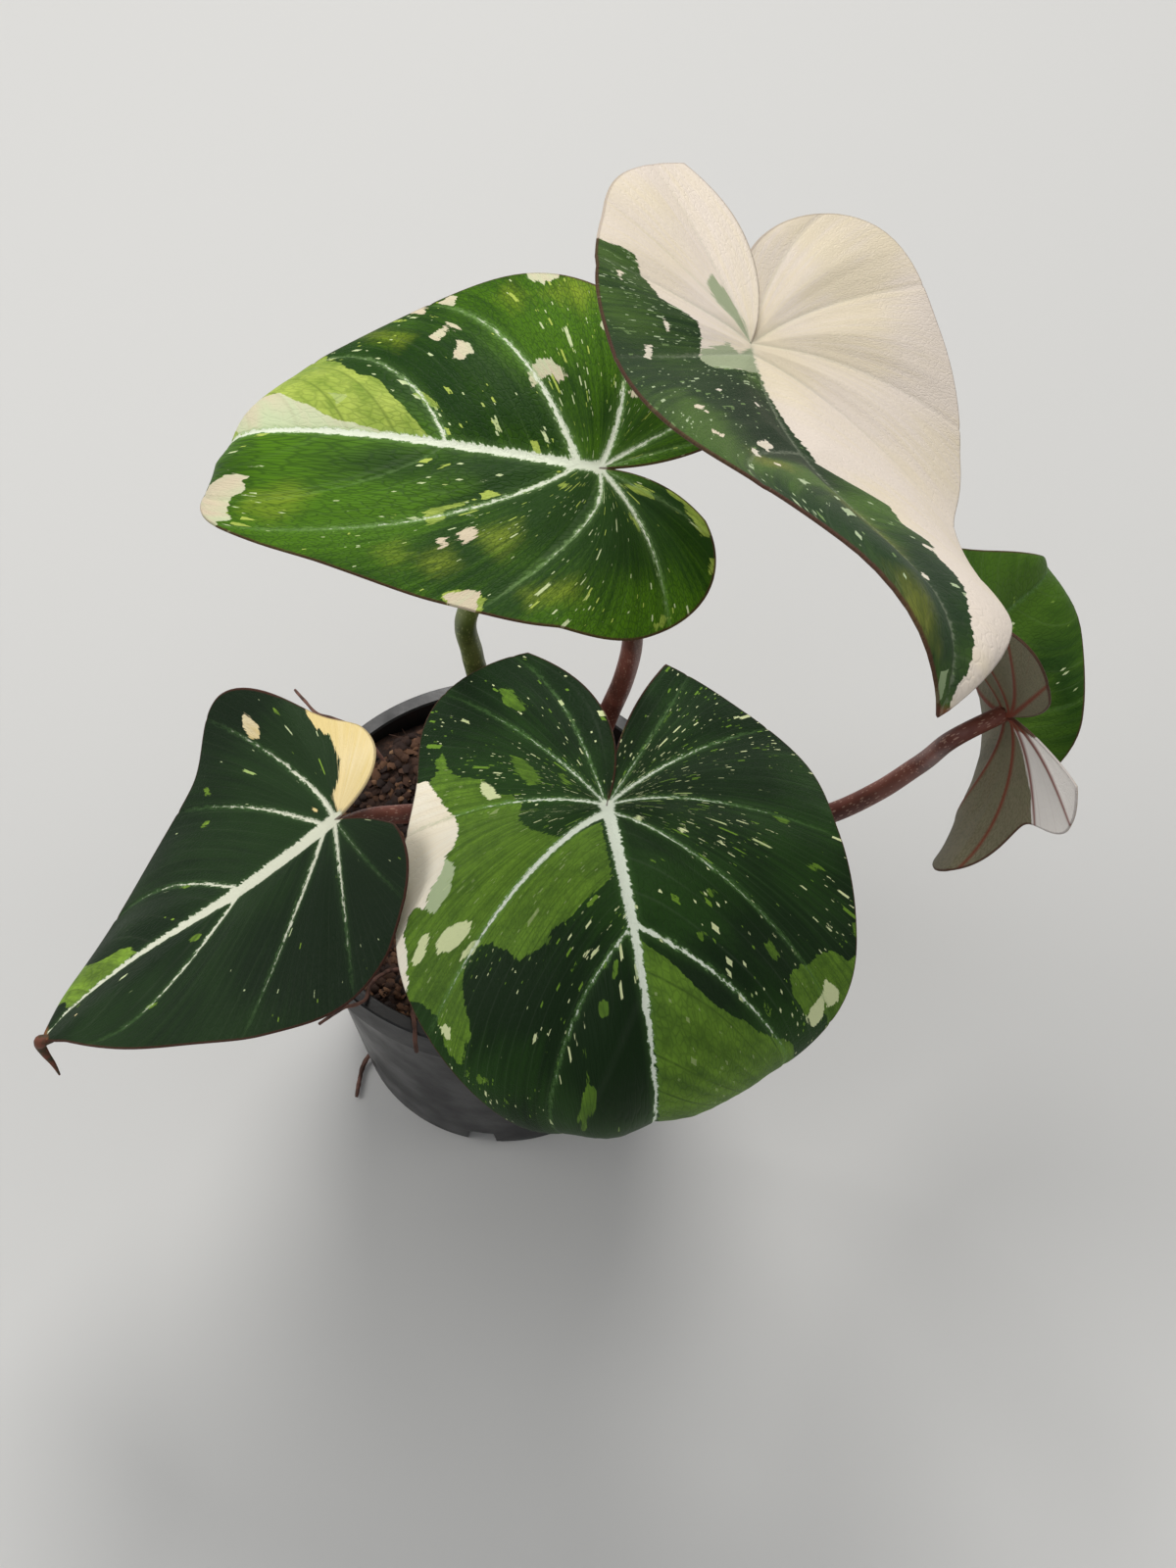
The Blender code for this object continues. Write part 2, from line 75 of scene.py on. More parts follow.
camera_data = bpy.data.cameras.new("camera")
camera_data.lens = CAMERA_LENS
camera_data.sensor_width = CAMERA_SENSOR
camera_data.clip_start = CAMERA_NEAR
camera = add_object("camera", camera_data)
camera.location = CAMERA_PLACE
camera.rotation_euler = (math.radians(90.0 - CAMERA_PITCH), 0.0, 0.0)
scene.camera = camera

for light_name, (place, target, size, power, colour) in SOFT_LIGHTS.items():
    light_data = bpy.data.lights.new(light_name, "AREA")
    light_data.shape = "DISK"
    light_data.size = size
    light_data.energy = power
    light_data.color = colour
    light = add_object(light_name, light_data)
    light.location = place
    light.rotation_euler = (Vector(target) - Vector(place)).to_track_quat("-Z", "Y").to_euler()

world = bpy.data.worlds.new("sky")
world.use_nodes = True
sky = world.node_tree.nodes["Background"]
sky.inputs["Color"].default_value = (*SKY_COLOUR, 1.0)
sky.inputs["Strength"].default_value = SKY_STRENGTH
scene.world = world


def new_material(name, roughness, **settings):
    """A Principled material; the settings are sockets by their names with _ for spaces."""
    mat = bpy.data.materials.new(name)
    mat.use_nodes = True
    shader = mat.node_tree.nodes["Principled BSDF"]
    shader.inputs["Roughness"].default_value = roughness
    for socket, value in settings.items():
        shader.inputs[socket.replace("_", " ")].default_value = value
    return mat, mat.node_tree, shader


floor_mesh = bpy.data.meshes.new("floor")
half_floor = FLOOR_SIZE / 2
floor_mesh.from_pydata([(-half_floor, -half_floor, 0), (half_floor, -half_floor, 0),
                        (half_floor, half_floor, 0), (-half_floor, half_floor, 0)], [], [(0, 1, 2, 3)])
floor = add_object("floor", floor_mesh)
floor_paint, _, floor_shader = new_material("floor_paint", FLOOR_ROUGHNESS)
floor_shader.inputs["Base Color"].default_value = (*FLOOR_COLOUR, 1.0)
floor_mesh.materials.append(floor_paint)

# ---- Pot ----
# A thin-walled black plastic nursery pot, injection moulded in one piece.  Its rim folds over into a
# skirt, and drainage notches cut the foot of the wall and the edge of the floor.
MM = 0.001
POT_HEIGHT = 100.0
POT_RIM_RADIUS = 60.0
POT_BASE_RADIUS = 45.0
POT_TOP_RADIUS = 57.3
POT_WALL = 1.6
POT_FLOOR = 2.0
POT_SKIRT = 12.0
POT_EDGE = 0.5
POT_STEPS = 144
DRAIN_COUNT = 6
DRAIN_RADIUS = 5.0
DRAIN_RING = 42.5
DRAIN_HEIGHT = 8.0
DRAIN_TURN = 202.0             # degrees from +X to the first notch
DRAIN_SIDES = 32
SAME_POINT = 0.00005           # m within which the turned profile's ends join on the axis
POT_SHARP = 35.0               # degrees past which an edge stays sharp
# A pattern's features a metre, its detail and its roughness; then the values it turns between
SCUFF_GRAIN, SCUFF_SPREAD = (90.0, 6.0, 0.7), (0.56, 0.74)
SHEEN_GRAIN, SHEEN_SPREAD = (60.0, 4.0), (0.3, 0.7)
POT_GRAIN = (900.0, 3.0)
POT_ROUGHNESS = (0.32, 0.55)   # where it is polished, and where it is dull
POT_SCUFFED = 0.35             # how far a scuff hides the black
POT_RELIEF = (0.25, 0.0002)    # the bump's strength, and its depth in m


def srgb(red, green, blue):
    """A colour given in the usual 0 to 255 values, as the shader's linear one."""
    levels = [value / 255.0 for value in (red, green, blue)]
    return tuple(v / 12.92 if v <= 0.04045 else ((v + 0.055) / 1.055)**2.4 for v in levels)


def add_node(tree, kind, links=(), **values):
    """A node with its plain properties, and its inputs joined or set by (input, source) pairs."""
    node = tree.nodes.new(kind)
    for key, value in values.items():
        setattr(node, key, value)
    for socket, source in links:
        if isinstance(source, bpy.types.NodeSocket):
            tree.links.new(source, node.inputs[socket])
        else:
            node.inputs[socket].default_value = source
    return node


def mix_colour(tree, factor, first, second):
    """The first colour turning into the second; a colour is a socket or a linear triple."""
    colours = [(*colour, 1.0) if isinstance(colour, tuple) else colour for colour in (first, second)]
    return add_node(tree, "ShaderNodeMix", [(0, factor), (6, colours[0]), (7, colours[1])],
                    data_type="RGBA", clamp_factor=True).outputs[2]


def maths(tree, operation, *values):
    """The operation on one to three values or sockets."""
    return add_node(tree, "ShaderNodeMath", enumerate(values), operation=operation).outputs[0]


def ramp(tree, value, low, high, from_value=0.0, to_value=1.0):
    """The value's place between low and high, smoothed, as from_value to to_value."""
    return add_node(tree, "ShaderNodeMapRange", enumerate((value, low, high, from_value, to_value)),
                    interpolation_type="SMOOTHSTEP").outputs[0]


def noise(tree, vector, scale, detail=2.0, roughness=0.5):
    node = add_node(tree, "ShaderNodeTexNoise", [("Vector", vector), ("Scale", scale),
                                                 ("Detail", detail), ("Roughness", roughness)])
    return node.outputs["Fac"]


def object_place(tree):
    """The point's place in metres, as a pattern reads it."""
    return add_node(tree, "ShaderNodeTexCoord").outputs["Object"]


def bump(tree, shader, height, strength, distance):
    """Gives the material the height's relief, to the given strength and depth in m."""
    node = add_node(tree, "ShaderNodeBump", [("Height", height), ("Strength", strength),
                                             ("Distance", distance)])
    tree.links.new(node.outputs["Normal"], shader.inputs["Normal"])


def wall_radius(height):
    """The outside of the pot's tapered wall, in mm."""
    return POT_BASE_RADIUS + (POT_TOP_RADIUS - POT_BASE_RADIUS) * height / POT_HEIGHT


def finish_mesh(item, name, sharp=POT_SHARP):
    """The evaluated object as a plain mesh object, smooth but for its sharp edges."""
    bpy.context.view_layer.update()
    mesh = bpy.data.meshes.new_from_object(item.evaluated_get(bpy.context.evaluated_depsgraph_get()))
    bpy.data.objects.remove(item, do_unlink=True)
    mesh.name = name
    mesh.shade_smooth()
    mesh.set_sharp_from_angle(angle=math.radians(sharp))
    return add_object(name, mesh)


def register(piece, slot, *nodes):
    """The piece rides with the pot and stands for its CAD nodes; the slot is not used."""
    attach(piece, "root")
    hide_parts(*nodes)


def pot_profile():
    """The wall's section as (radius, height) in mm, from the rim down outside and up again inside."""
    top, skirt = POT_HEIGHT, POT_HEIGHT - POT_SKIRT
    fold, inner = top - POT_WALL, POT_TOP_RADIUS - POT_WALL
    return (
        (POT_RIM_RADIUS - POT_EDGE, top), (POT_RIM_RADIUS, top - POT_EDGE),
        (POT_RIM_RADIUS - POT_EDGE, skirt), (POT_RIM_RADIUS - POT_EDGE - POT_WALL, skirt),
        (POT_RIM_RADIUS - POT_WALL, fold), (wall_radius(fold), fold),
        (wall_radius(POT_EDGE), POT_EDGE), (POT_BASE_RADIUS - POT_EDGE, 0.0),
        (0.0, 0.0), (0.0, POT_FLOOR), (wall_radius(POT_FLOOR) - POT_WALL, POT_FLOOR),
        (inner, top - POT_EDGE), (inner + POT_EDGE, top),
    )


POT_BLACK = srgb(26, 26, 27)
POT_SCUFF = srgb(62, 61, 58)

pot_mesh = bpy.data.meshes.new("pot_turned")
corners = [(radius * MM, 0.0, height * MM) for radius, height in pot_profile()]
pot_mesh.from_pydata(corners, [(i, (i + 1) % len(corners)) for i in range(len(corners))], [])
pot_turned = add_object("pot_turned", pot_mesh)
turn = pot_turned.modifiers.new("turn", "SCREW")
turn.steps = turn.render_steps = POT_STEPS
turn.use_merge_vertices = True
turn.merge_threshold = SAME_POINT
drain_cutters = []
for i in range(DRAIN_COUNT):
    angle = math.radians(DRAIN_TURN + 360.0 * i / DRAIN_COUNT)
    shape = bmesh.new()
    bmesh.ops.create_cone(shape, cap_ends=True, segments=DRAIN_SIDES, radius1=DRAIN_RADIUS * MM,
                          radius2=DRAIN_RADIUS * MM, depth=2 * DRAIN_HEIGHT * MM)
    drain_mesh = bpy.data.meshes.new("drain_cut")
    shape.to_mesh(drain_mesh)
    shape.free()
    drain = add_object("drain_cut", drain_mesh)
    drain.location = (DRAIN_RING * MM * math.cos(angle), DRAIN_RING * MM * math.sin(angle), 0.0)
    drain_cutters.append(drain)
    notch = pot_turned.modifiers.new("notch", "BOOLEAN")
    notch.operation = "DIFFERENCE"
    notch.object = drain
pot = finish_mesh(pot_turned, "nursery_pot")
for drain in drain_cutters:
    bpy.data.objects.remove(drain, do_unlink=True)

pot_plastic, tree, shader = new_material("black_pot_plastic", POT_ROUGHNESS[0])
place = object_place(tree)
scuffs = ramp(tree, noise(tree, place, *SCUFF_GRAIN), *SCUFF_SPREAD)
tree.links.new(mix_colour(tree, maths(tree, "MULTIPLY", scuffs, POT_SCUFFED), POT_BLACK, POT_SCUFF),
               shader.inputs["Base Color"])
tree.links.new(ramp(tree, noise(tree, place, *SHEEN_GRAIN), *SHEEN_SPREAD, *POT_ROUGHNESS),
               shader.inputs["Roughness"])
bump(tree, shader, noise(tree, place, *POT_GRAIN), *POT_RELIEF)
pot.data.materials.append(pot_plastic)
register(pot, "pot_plastic", "pot")

# ---- Potting mix ----
# Coarse brown coir and bark chips over a darker fine mix.  The surface is mounded and heaped against
# the rim at the back left; the chips, flakes and fibres lie loose on it.  The chips' tones are darkened
# throughout as painted shade from the leaves above.
MIX_TOP = 87.0
MIX_MOUND = 2.5
MIX_HEAP = 9.0
MIX_HEAP_PLACE = (-30.0, 36.0)
MIX_HEAP_RADIUS = 20.0
MIX_LUMPS = 0.8
LONG_LUMPS = (0.31, 0.27)      # radians a mm, along x and y
SHORT_LUMPS = (0.62, 0.49)
SHORT_SHARE = 0.6              # the short lumps' height as a share of the long ones'
MIX_CLEAR = 0.3                # mm between the mix and the pot's wall
MIX_DEPTH = 40.0               # how far the block of mix reaches below its top
MIX_RINGS = 40
MIX_SPOKES = 96
CHIP_SHARE = 0.955             # chips stay inside this share of the mix's radius
CHIP_SIZES = {"chunk": (1.9, 1.35, 0.95), "flake": (2.0, 1.4, 0.45)}      # half sizes in mm
CHUNK_SEGMENTS = (7, 5)        # round it and from end to end
CORNER_SHARES = (0.72, 1.18)   # a corner lies between these shares of its even place
FIBRE_RINGS = 6
FIBRE_SIDES = 3
FIBRE_STEP = 1.5               # mm between rings
FIBRE_RADIUS = 0.13
FIBRE_BEND = (0.5, 0.35)       # mm to the side and up
FIBRE_TURN = (0.9, 1.3)        # radians of its two bends from ring to ring
CHIP_TILT = 0.5                # radians, either way
CHIP_SLOPE = 0.5               # chips lie where a face's normal rises at least this much
CHIP_SHARP = 50.0
CHIP_ROUGHNESS = 0.9
CHIP_GRAIN = (900.0, 4.0, 0.7)
CHIP_SHADES = (0.82, 0.3)      # how much of a chip's shade is its own tone, and how much its grain
CHIP_RELIEF = (0.6, 0.0004)
MIX_ROUGHNESS = 0.95
MIX_TONES = (srgb(34, 22, 17), srgb(84, 55, 40))
MIX_GRAIN, MIX_SPREAD = (420.0, 8.0, 0.75), (0.35, 0.75)
MIX_RELIEF = (1.0, 0.0015)
# the chips' own browns, darkened throughout as painted shade from the leaves above
SHADE_DARKENED_CHIP_TONES = ((0.0, srgb(20, 13, 10)), (0.35, srgb(42, 26, 20)), (0.7, srgb(70, 46, 33)),
              (0.92, srgb(106, 74, 52)), (1.0, srgb(142, 110, 80)))
# kind: (chips per square metre, smallest and largest size factor, seed)
CHIP_KINDS = {"chunk": (105000.0, 0.5, 1.25, 3), "flake": (190000.0, 0.5, 1.35, 8),
              "fibre": (60000.0, 0.5, 1.4, 21)}


def mix_rise(x, y):
    """How far the top of the mix stands above its edge, in mm."""
    mound = MIX_MOUND * (1 - (x * x + y * y) / POT_TOP_RADIUS**2)
    away = math.hypot(x - MIX_HEAP_PLACE[0], y - MIX_HEAP_PLACE[1]) / MIX_HEAP_RADIUS
    lumps = (math.sin(x * LONG_LUMPS[0] + 1.0) * math.cos(y * LONG_LUMPS[1])
             + SHORT_SHARE * math.sin(x * SHORT_LUMPS[0] - y * SHORT_LUMPS[1]))
    return mound + MIX_HEAP * math.exp(-away * away) + MIX_LUMPS * lumps


def mix_surface():
    """The mix's top, with a wall down inside the pot and a floor that closes it."""
    points, faces = [(0.0, 0.0, (MIX_TOP + mix_rise(0, 0)) * MM)], []
    for ring in range(1, MIX_RINGS + 1):
        for spoke in range(MIX_SPOKES):
            angle = 2 * math.pi * spoke / MIX_SPOKES
            share = ring / MIX_RINGS
            radius = share * (wall_radius(MIX_TOP) - POT_WALL - MIX_CLEAR)
            height = MIX_TOP + mix_rise(radius * math.cos(angle), radius * math.sin(angle))
            radius = share * (wall_radius(height) - POT_WALL - MIX_CLEAR)
            points.append((radius * math.cos(angle) * MM, radius * math.sin(angle) * MM, height * MM))
    low = MIX_TOP - MIX_DEPTH
    radius = wall_radius(low) - POT_WALL - MIX_CLEAR
    for spoke in range(MIX_SPOKES):
        angle = 2 * math.pi * spoke / MIX_SPOKES
        points.append((radius * math.cos(angle) * MM, radius * math.sin(angle) * MM, low * MM))
    points.append((0.0, 0.0, low * MM))
    for spoke in range(MIX_SPOKES):
        after = (spoke + 1) % MIX_SPOKES
        faces.append((0, 1 + spoke, 1 + after))
        for ring in range(MIX_RINGS):
            inner, outer = 1 + ring * MIX_SPOKES, 1 + (ring + 1) * MIX_SPOKES
            faces.append((inner + spoke, outer + spoke, outer + after, inner + after))
        last = 1 + MIX_RINGS * MIX_SPOKES
        faces.append((last + after, last + spoke, len(points) - 1))
    mesh = bpy.data.meshes.new("potting_mix_block")
    mesh.from_pydata(points, [], faces)
    return add_object("potting_mix_block", mesh)


def chip_shape(kind):
    """One chip of the kind, a few millimetres across, at the origin."""
    chance = random.Random(kind)
    shape = bmesh.new()
    if kind == "fibre":
        for step in range(FIBRE_RINGS):
            bend_x = FIBRE_BEND[0] * math.sin(step * FIBRE_TURN[0])
            bend_y = FIBRE_BEND[1] * math.cos(step * FIBRE_TURN[1])
            for side in range(FIBRE_SIDES):
                angle = 2 * math.pi * side / FIBRE_SIDES
                shape.verts.new(((step - (FIBRE_RINGS - 1) / 2) * FIBRE_STEP * MM,
                                 (bend_x + FIBRE_RADIUS * math.cos(angle)) * MM,
                                 (bend_y + FIBRE_RADIUS * math.sin(angle)) * MM))
        corners = list(shape.verts)
        for step in range(FIBRE_RINGS - 1):
            for side in range(FIBRE_SIDES):
                a, b = step * FIBRE_SIDES + side, step * FIBRE_SIDES + (side + 1) % FIBRE_SIDES
                shape.faces.new([corners[i] for i in (a, a + FIBRE_SIDES, b + FIBRE_SIDES, b)])
        shape.faces.new(corners[:FIBRE_SIDES])
        shape.faces.new(corners[:-FIBRE_SIDES - 1:-1])
    else:
        if kind == "chunk":
            round_it, along_it = CHUNK_SEGMENTS
            bmesh.ops.create_uvsphere(shape, u_segments=round_it, v_segments=along_it, radius=1.0)
        else:
            bmesh.ops.create_icosphere(shape, subdivisions=1, radius=1.0)
        for vertex in shape.verts:
            rough = chance.uniform(*CORNER_SHARES)
            vertex.co = Vector([c * s * rough * MM for c, s in zip(vertex.co, CHIP_SIZES[kind])])
    bmesh.ops.recalc_face_normals(shape, faces=shape.faces)
    mesh = bpy.data.meshes.new(kind)
    shape.to_mesh(mesh)
    shape.free()
    return add_object(kind, mesh)


def open_group(name, kind, inputs, outputs):
    """A node group with sockets of the given types, its inputs to read and its outputs to fill."""
    group = bpy.data.node_groups.new(name, kind)
    for way, sockets in (("INPUT", inputs), ("OUTPUT", outputs)):
        for label, sort in sockets.items():
            group.interface.new_socket(label, in_out=way, socket_type="NodeSocket" + sort)
    given = add_node(group, "NodeGroupInput").outputs
    return group, given, add_node(group, "NodeGroupOutput").inputs


def chip_tree(kinds):
    """Scatters each kind of chip over the upward faces, each chip with a tone of its own."""
    group, given, result = open_group(
        "loose_chips", "GeometryNodeTree",
        {"Geometry": "Geometry", "Chip Material": "Material", "Radius Limit": "Float"},
        {"Geometry": "Geometry"})
    normal = add_node(group, "ShaderNodeSeparateXYZ",
                      [(0, add_node(group, "GeometryNodeInputNormal").outputs[0])])
    spot = add_node(group, "GeometryNodeInputPosition").outputs[0]
    flat = add_node(group, "ShaderNodeVectorMath", [(0, spot), (1, (1.0, 1.0, 0.0))],
                    operation="MULTIPLY").outputs[0]
    reach = add_node(group, "ShaderNodeVectorMath", [(0, flat)], operation="LENGTH").outputs["Value"]
    upward = maths(group, "GREATER_THAN", normal.outputs[2], CHIP_SLOPE)
    inside = maths(group, "LESS_THAN", reach, given["Radius Limit"])
    chosen = maths(group, "MULTIPLY", upward, inside)
    join = add_node(group, "GeometryNodeJoinGeometry")
    for kind, item in kinds.items():
        density, smallest, largest, seed = CHIP_KINDS[kind]
        scatter = add_node(group, "GeometryNodeDistributePointsOnFaces",
                           [("Mesh", given["Geometry"]), ("Selection", chosen),
                            ("Density", density), ("Seed", seed)])
        proto = add_node(group, "GeometryNodeObjectInfo", [("Object", item)])
        turn_by = add_node(group, "FunctionNodeRandomValue", [("Seed", seed + 1)],
                           data_type="FLOAT_VECTOR")
        turn_by.inputs[0].default_value = (-CHIP_TILT, -CHIP_TILT, 0.0)
        turn_by.inputs[1].default_value = (CHIP_TILT, CHIP_TILT, 2 * math.pi)
        size_by = add_node(group, "FunctionNodeRandomValue", [("Seed", seed + 2)], data_type="FLOAT")
        size_by.inputs[2].default_value, size_by.inputs[3].default_value = smallest, largest
        tone_by = add_node(group, "FunctionNodeRandomValue", [("Seed", seed + 3)], data_type="FLOAT")
        place_all = add_node(group, "GeometryNodeInstanceOnPoints",
                             [("Points", scatter.outputs["Points"]),
                              ("Instance", proto.outputs["Geometry"]),
                              ("Rotation", turn_by.outputs[0]), ("Scale", size_by.outputs[1])])
        store = add_node(group, "GeometryNodeStoreNamedAttribute",
                         [("Geometry", place_all.outputs[0]), ("Name", "tone")],
                         data_type="FLOAT", domain="INSTANCE")
        group.links.new(tone_by.outputs[1], store.inputs["Value"])
        group.links.new(store.outputs[0], join.inputs[0])
    real = add_node(group, "GeometryNodeRealizeInstances", [(0, join.outputs[0])])
    paint = add_node(group, "GeometryNodeSetMaterial",
                     [("Geometry", real.outputs[0]), ("Material", given["Chip Material"])])
    group.links.new(paint.outputs[0], result[0])
    return group


def chip_material():
    """Coir and bark, with a tone of its own for each chip, all darkened as painted shade from the
    leaves.
    """
    mat, tree, shader = new_material("coir_and_bark", CHIP_ROUGHNESS)
    place = object_place(tree)
    tone = add_node(tree, "ShaderNodeAttribute", attribute_name="tone").outputs["Fac"]
    grain = noise(tree, place, *CHIP_GRAIN)
    own, grained = CHIP_SHADES
    shifted = maths(tree, "MULTIPLY_ADD", tone, own, maths(tree, "MULTIPLY", grain, grained))
    tones = add_node(tree, "ShaderNodeValToRGB", [("Fac", shifted)])
    while len(tones.color_ramp.elements) < len(SHADE_DARKENED_CHIP_TONES):
        tones.color_ramp.elements.new(0.5)
    for element, (spot, colour) in zip(tones.color_ramp.elements, SHADE_DARKENED_CHIP_TONES):
        element.position = spot
        element.color = (*colour, 1.0)
    tree.links.new(tones.outputs["Color"], shader.inputs["Base Color"])
    bump(tree, shader, grain, *CHIP_RELIEF)
    return mat


def mottled_group():
    """Two tones that run into each other in soft patches, and the patches' relief."""
    group, given, result = open_group(
        "mottled", "ShaderNodeTree",
        {"Ground": "Color", "Patches": "Color", "Scale": "Float", "Detail": "Float",
         "Roughness": "Float", "Low": "Float", "High": "Float"},
        {"Color": "Color", "Height": "Float"})
    patches = noise(group, object_place(group), given["Scale"], given["Detail"], given["Roughness"])
    mask = ramp(group, patches, given["Low"], given["High"])
    group.links.new(mix_colour(group, mask, given["Ground"], given["Patches"]), result["Color"])
    group.links.new(patches, result["Height"])
    return group


mottled = mottled_group()


def mottled_material(name, roughness, tones, grain, spread):
    """A material of two tones with the given grain and spread, and its pattern's relief."""
    mat, tree, shader = new_material(name, roughness)
    values = (*[(*tone, 1.0) for tone in tones], *grain, *spread)
    names = ("Ground", "Patches", "Scale", "Detail", "Roughness", "Low", "High")
    pattern = add_node(tree, "ShaderNodeGroup", zip(names, values), node_tree=mottled)
    tree.links.new(pattern.outputs["Color"], shader.inputs["Base Color"])
    return mat, tree, shader, pattern.outputs["Height"]


mix_block = mix_surface()
chip_kinds = {kind: chip_shape(kind) for kind in CHIP_KINDS}
scatterer = add_object("chip_scatter", mix_block.data.copy())
scatter_change = scatterer.modifiers.new("loose_chips", "NODES")
scatter_change.node_group = chip_tree(chip_kinds)
sockets = {item.name: item.identifier for item in scatter_change.node_group.interface.items_tree
           if item.in_out == "INPUT"}
scatter_change[sockets["Chip Material"]] = chip_material()
scatter_change[sockets["Radius Limit"]] = CHIP_SHARE * (wall_radius(MIX_TOP) - POT_WALL) * MM
chips = finish_mesh(scatterer, "loose_chips", CHIP_SHARP)
for item in chip_kinds.values():
    bpy.data.objects.remove(item, do_unlink=True)
register(chips, "potting_mix", "potting_mix")

mix_block = finish_mesh(mix_block, "fine_mix")
fine_mix, tree, shader, crumbs = mottled_material(
    "fine_mix", MIX_ROUGHNESS, MIX_TONES, MIX_GRAIN, MIX_SPREAD)
bump(tree, shader, crumbs, *MIX_RELIEF)
mix_block.data.materials.append(fine_mix)
register(mix_block, "potting_mix", "potting_mix")

# ---- Rhizome ----
# The creeping stem lies half sunk in the mix.  It is stout and green-brown, ringed by the scars of old
# leaves, and the five stalks rise from it.
RHIZOME_RADIUS = 6.5
RHIZOME_ROUTE = ((-16, 16, 84), (-8, 11, 86), (4, 5, 87), (16, 0, 87), (26, -5, 86), (32, -8, 85))
RHIZOME_RINGS = 90
RHIZOME_SIDES = 28
RHIZOME_SCARS = 7
RHIZOME_FOOT = 0.8             # the old end's share of the radius
SCAR_DEPTH = 0.07              # as a share of the radius
TUBE_DOME = 0.4                # height of a tube's domed ends, as a share of its radius
TUBE_SEAM = (0.3, 0.2, 1.0)    # no tube sets out this way
RHIZOME_ROUGHNESS = 0.7
RHIZOME_TONES = (srgb(96, 96, 58), srgb(98, 70, 48))
RHIZOME_GRAIN, RHIZOME_SPREAD = (160.0, 5.0, 0.65), (0.4, 0.62)
RHIZOME_RELIEF = (0.6, 0.001)


def hermite(knots, values, x):
    """A smooth curve through the values at the knots, read at x."""
    knots, values, x = (np.asarray(a, float) for a in (knots, values, x))
    step = np.diff(knots)
    slope = np.diff(values) / step
    tangent = np.empty(len(knots))
    tangent[1:-1] = (slope[:-1] * step[1:] + slope[1:] * step[:-1]) / (step[:-1] + step[1:])
    tangent[0] = 1.5 * slope[0] - 0.5 * tangent[1]
    tangent[-1] = 1.5 * slope[-1] - 0.5 * tangent[-2]
    i = np.clip(np.searchsorted(knots, x) - 1, 0, len(step) - 1)
    t = (x - knots[i]) / step[i]
    return ((2 * t**3 - 3 * t**2 + 1) * values[i] + (t**3 - 2 * t**2 + t) * step[i] * tangent[i]
            + (3 * t**2 - 2 * t**3) * values[i + 1] + (t**3 - t**2) * step[i] * tangent[i + 1])


def smooth_path(route, count):
    """Points along a smooth curve through the route's own points."""
    route = np.array(route, float)
    lengths = np.concatenate([[0.0], np.cumsum(np.linalg.norm(np.diff(route, axis=0), axis=1))])
    places = np.linspace(0.0, lengths[-1], count)
    return np.stack([hermite(lengths, route[:, axis], places) for axis in range(3)], axis=1)


def tube(name, path, radii, sides, end_dome=TUBE_DOME):
    """A closed tube with domed ends, with a UV map in mm: round it and along it."""
    ways = np.gradient(path, axis=0)
    ways /= np.linalg.norm(ways, axis=1, keepdims=True)
    across = np.cross(ways[0], TUBE_SEAM)
    rings = []
    travel = np.concatenate([[0.0], np.cumsum(np.linalg.norm(np.diff(path, axis=0), axis=1))])
    for place, way, radius in zip(path, ways, radii):
        across = across - way * (across @ way)
        across /= np.linalg.norm(across)
        up = np.cross(way, across)
        turns = 2 * math.pi * np.arange(sides) / sides
        rings.append(place + radius * (np.cos(turns)[:, None] * across + np.sin(turns)[:, None] * up))
    points = np.concatenate([*rings, [path[0] - ways[0] * radii[0] * TUBE_DOME,
                                      path[-1] + ways[-1] * radii[-1] * end_dome]])
    faces, uvs, count = [], [], len(path)
    girth = 2 * math.pi * float(np.mean(radii))
    for ring in range(count - 1):
        for side in range(sides):
            after = (side + 1) % sides
            a, b = ring * sides, (ring + 1) * sides
            faces.append((a + side, a + after, b + after, b + side))
            left, right = side * girth / sides, (side + 1) * girth / sides
            uvs += [(left, travel[ring]), (right, travel[ring]), (right, travel[ring + 1]),
                    (left, travel[ring + 1])]
    last, first_cap, last_cap = (count - 1) * sides, count * sides, count * sides + 1
    for side in range(sides):
        after = (side + 1) % sides
        faces += [(after, side, first_cap), (last + side, last + after, last_cap)]
        uvs += [(side * girth / sides, 0.0)] * 3 + [(side * girth / sides, travel[-1])] * 3
    mesh = bpy.data.meshes.new(name)
    mesh.from_pydata([tuple(p * MM) for p in points], [], faces)
    layer = mesh.uv_layers.new(name="skin")
    layer.data.foreach_set("uv", np.array(uvs, float).ravel())
    mesh.shade_smooth()
    return add_object(name, mesh)


rhizome_path = smooth_path(RHIZOME_ROUTE, RHIZOME_RINGS)
along = np.linspace(0.0, 1.0, RHIZOME_RINGS)
scars = np.abs(np.sin(math.pi * RHIZOME_SCARS * along))
taper = RHIZOME_FOOT + (1 - RHIZOME_FOOT) * along
rhizome_radii = RHIZOME_RADIUS * taper * (1 - SCAR_DEPTH + SCAR_DEPTH * scars**0.3)
rhizome = tube("creeping_stem", rhizome_path, rhizome_radii, RHIZOME_SIDES)
rhizome_skin, tree, shader, patches = mottled_material(
    "rhizome_skin", RHIZOME_ROUGHNESS, RHIZOME_TONES, RHIZOME_GRAIN, RHIZOME_SPREAD)
bump(tree, shader, patches, *RHIZOME_RELIEF)
rhizome.data.materials.append(rhizome_skin)
register(rhizome, "rhizome", "rhizome")
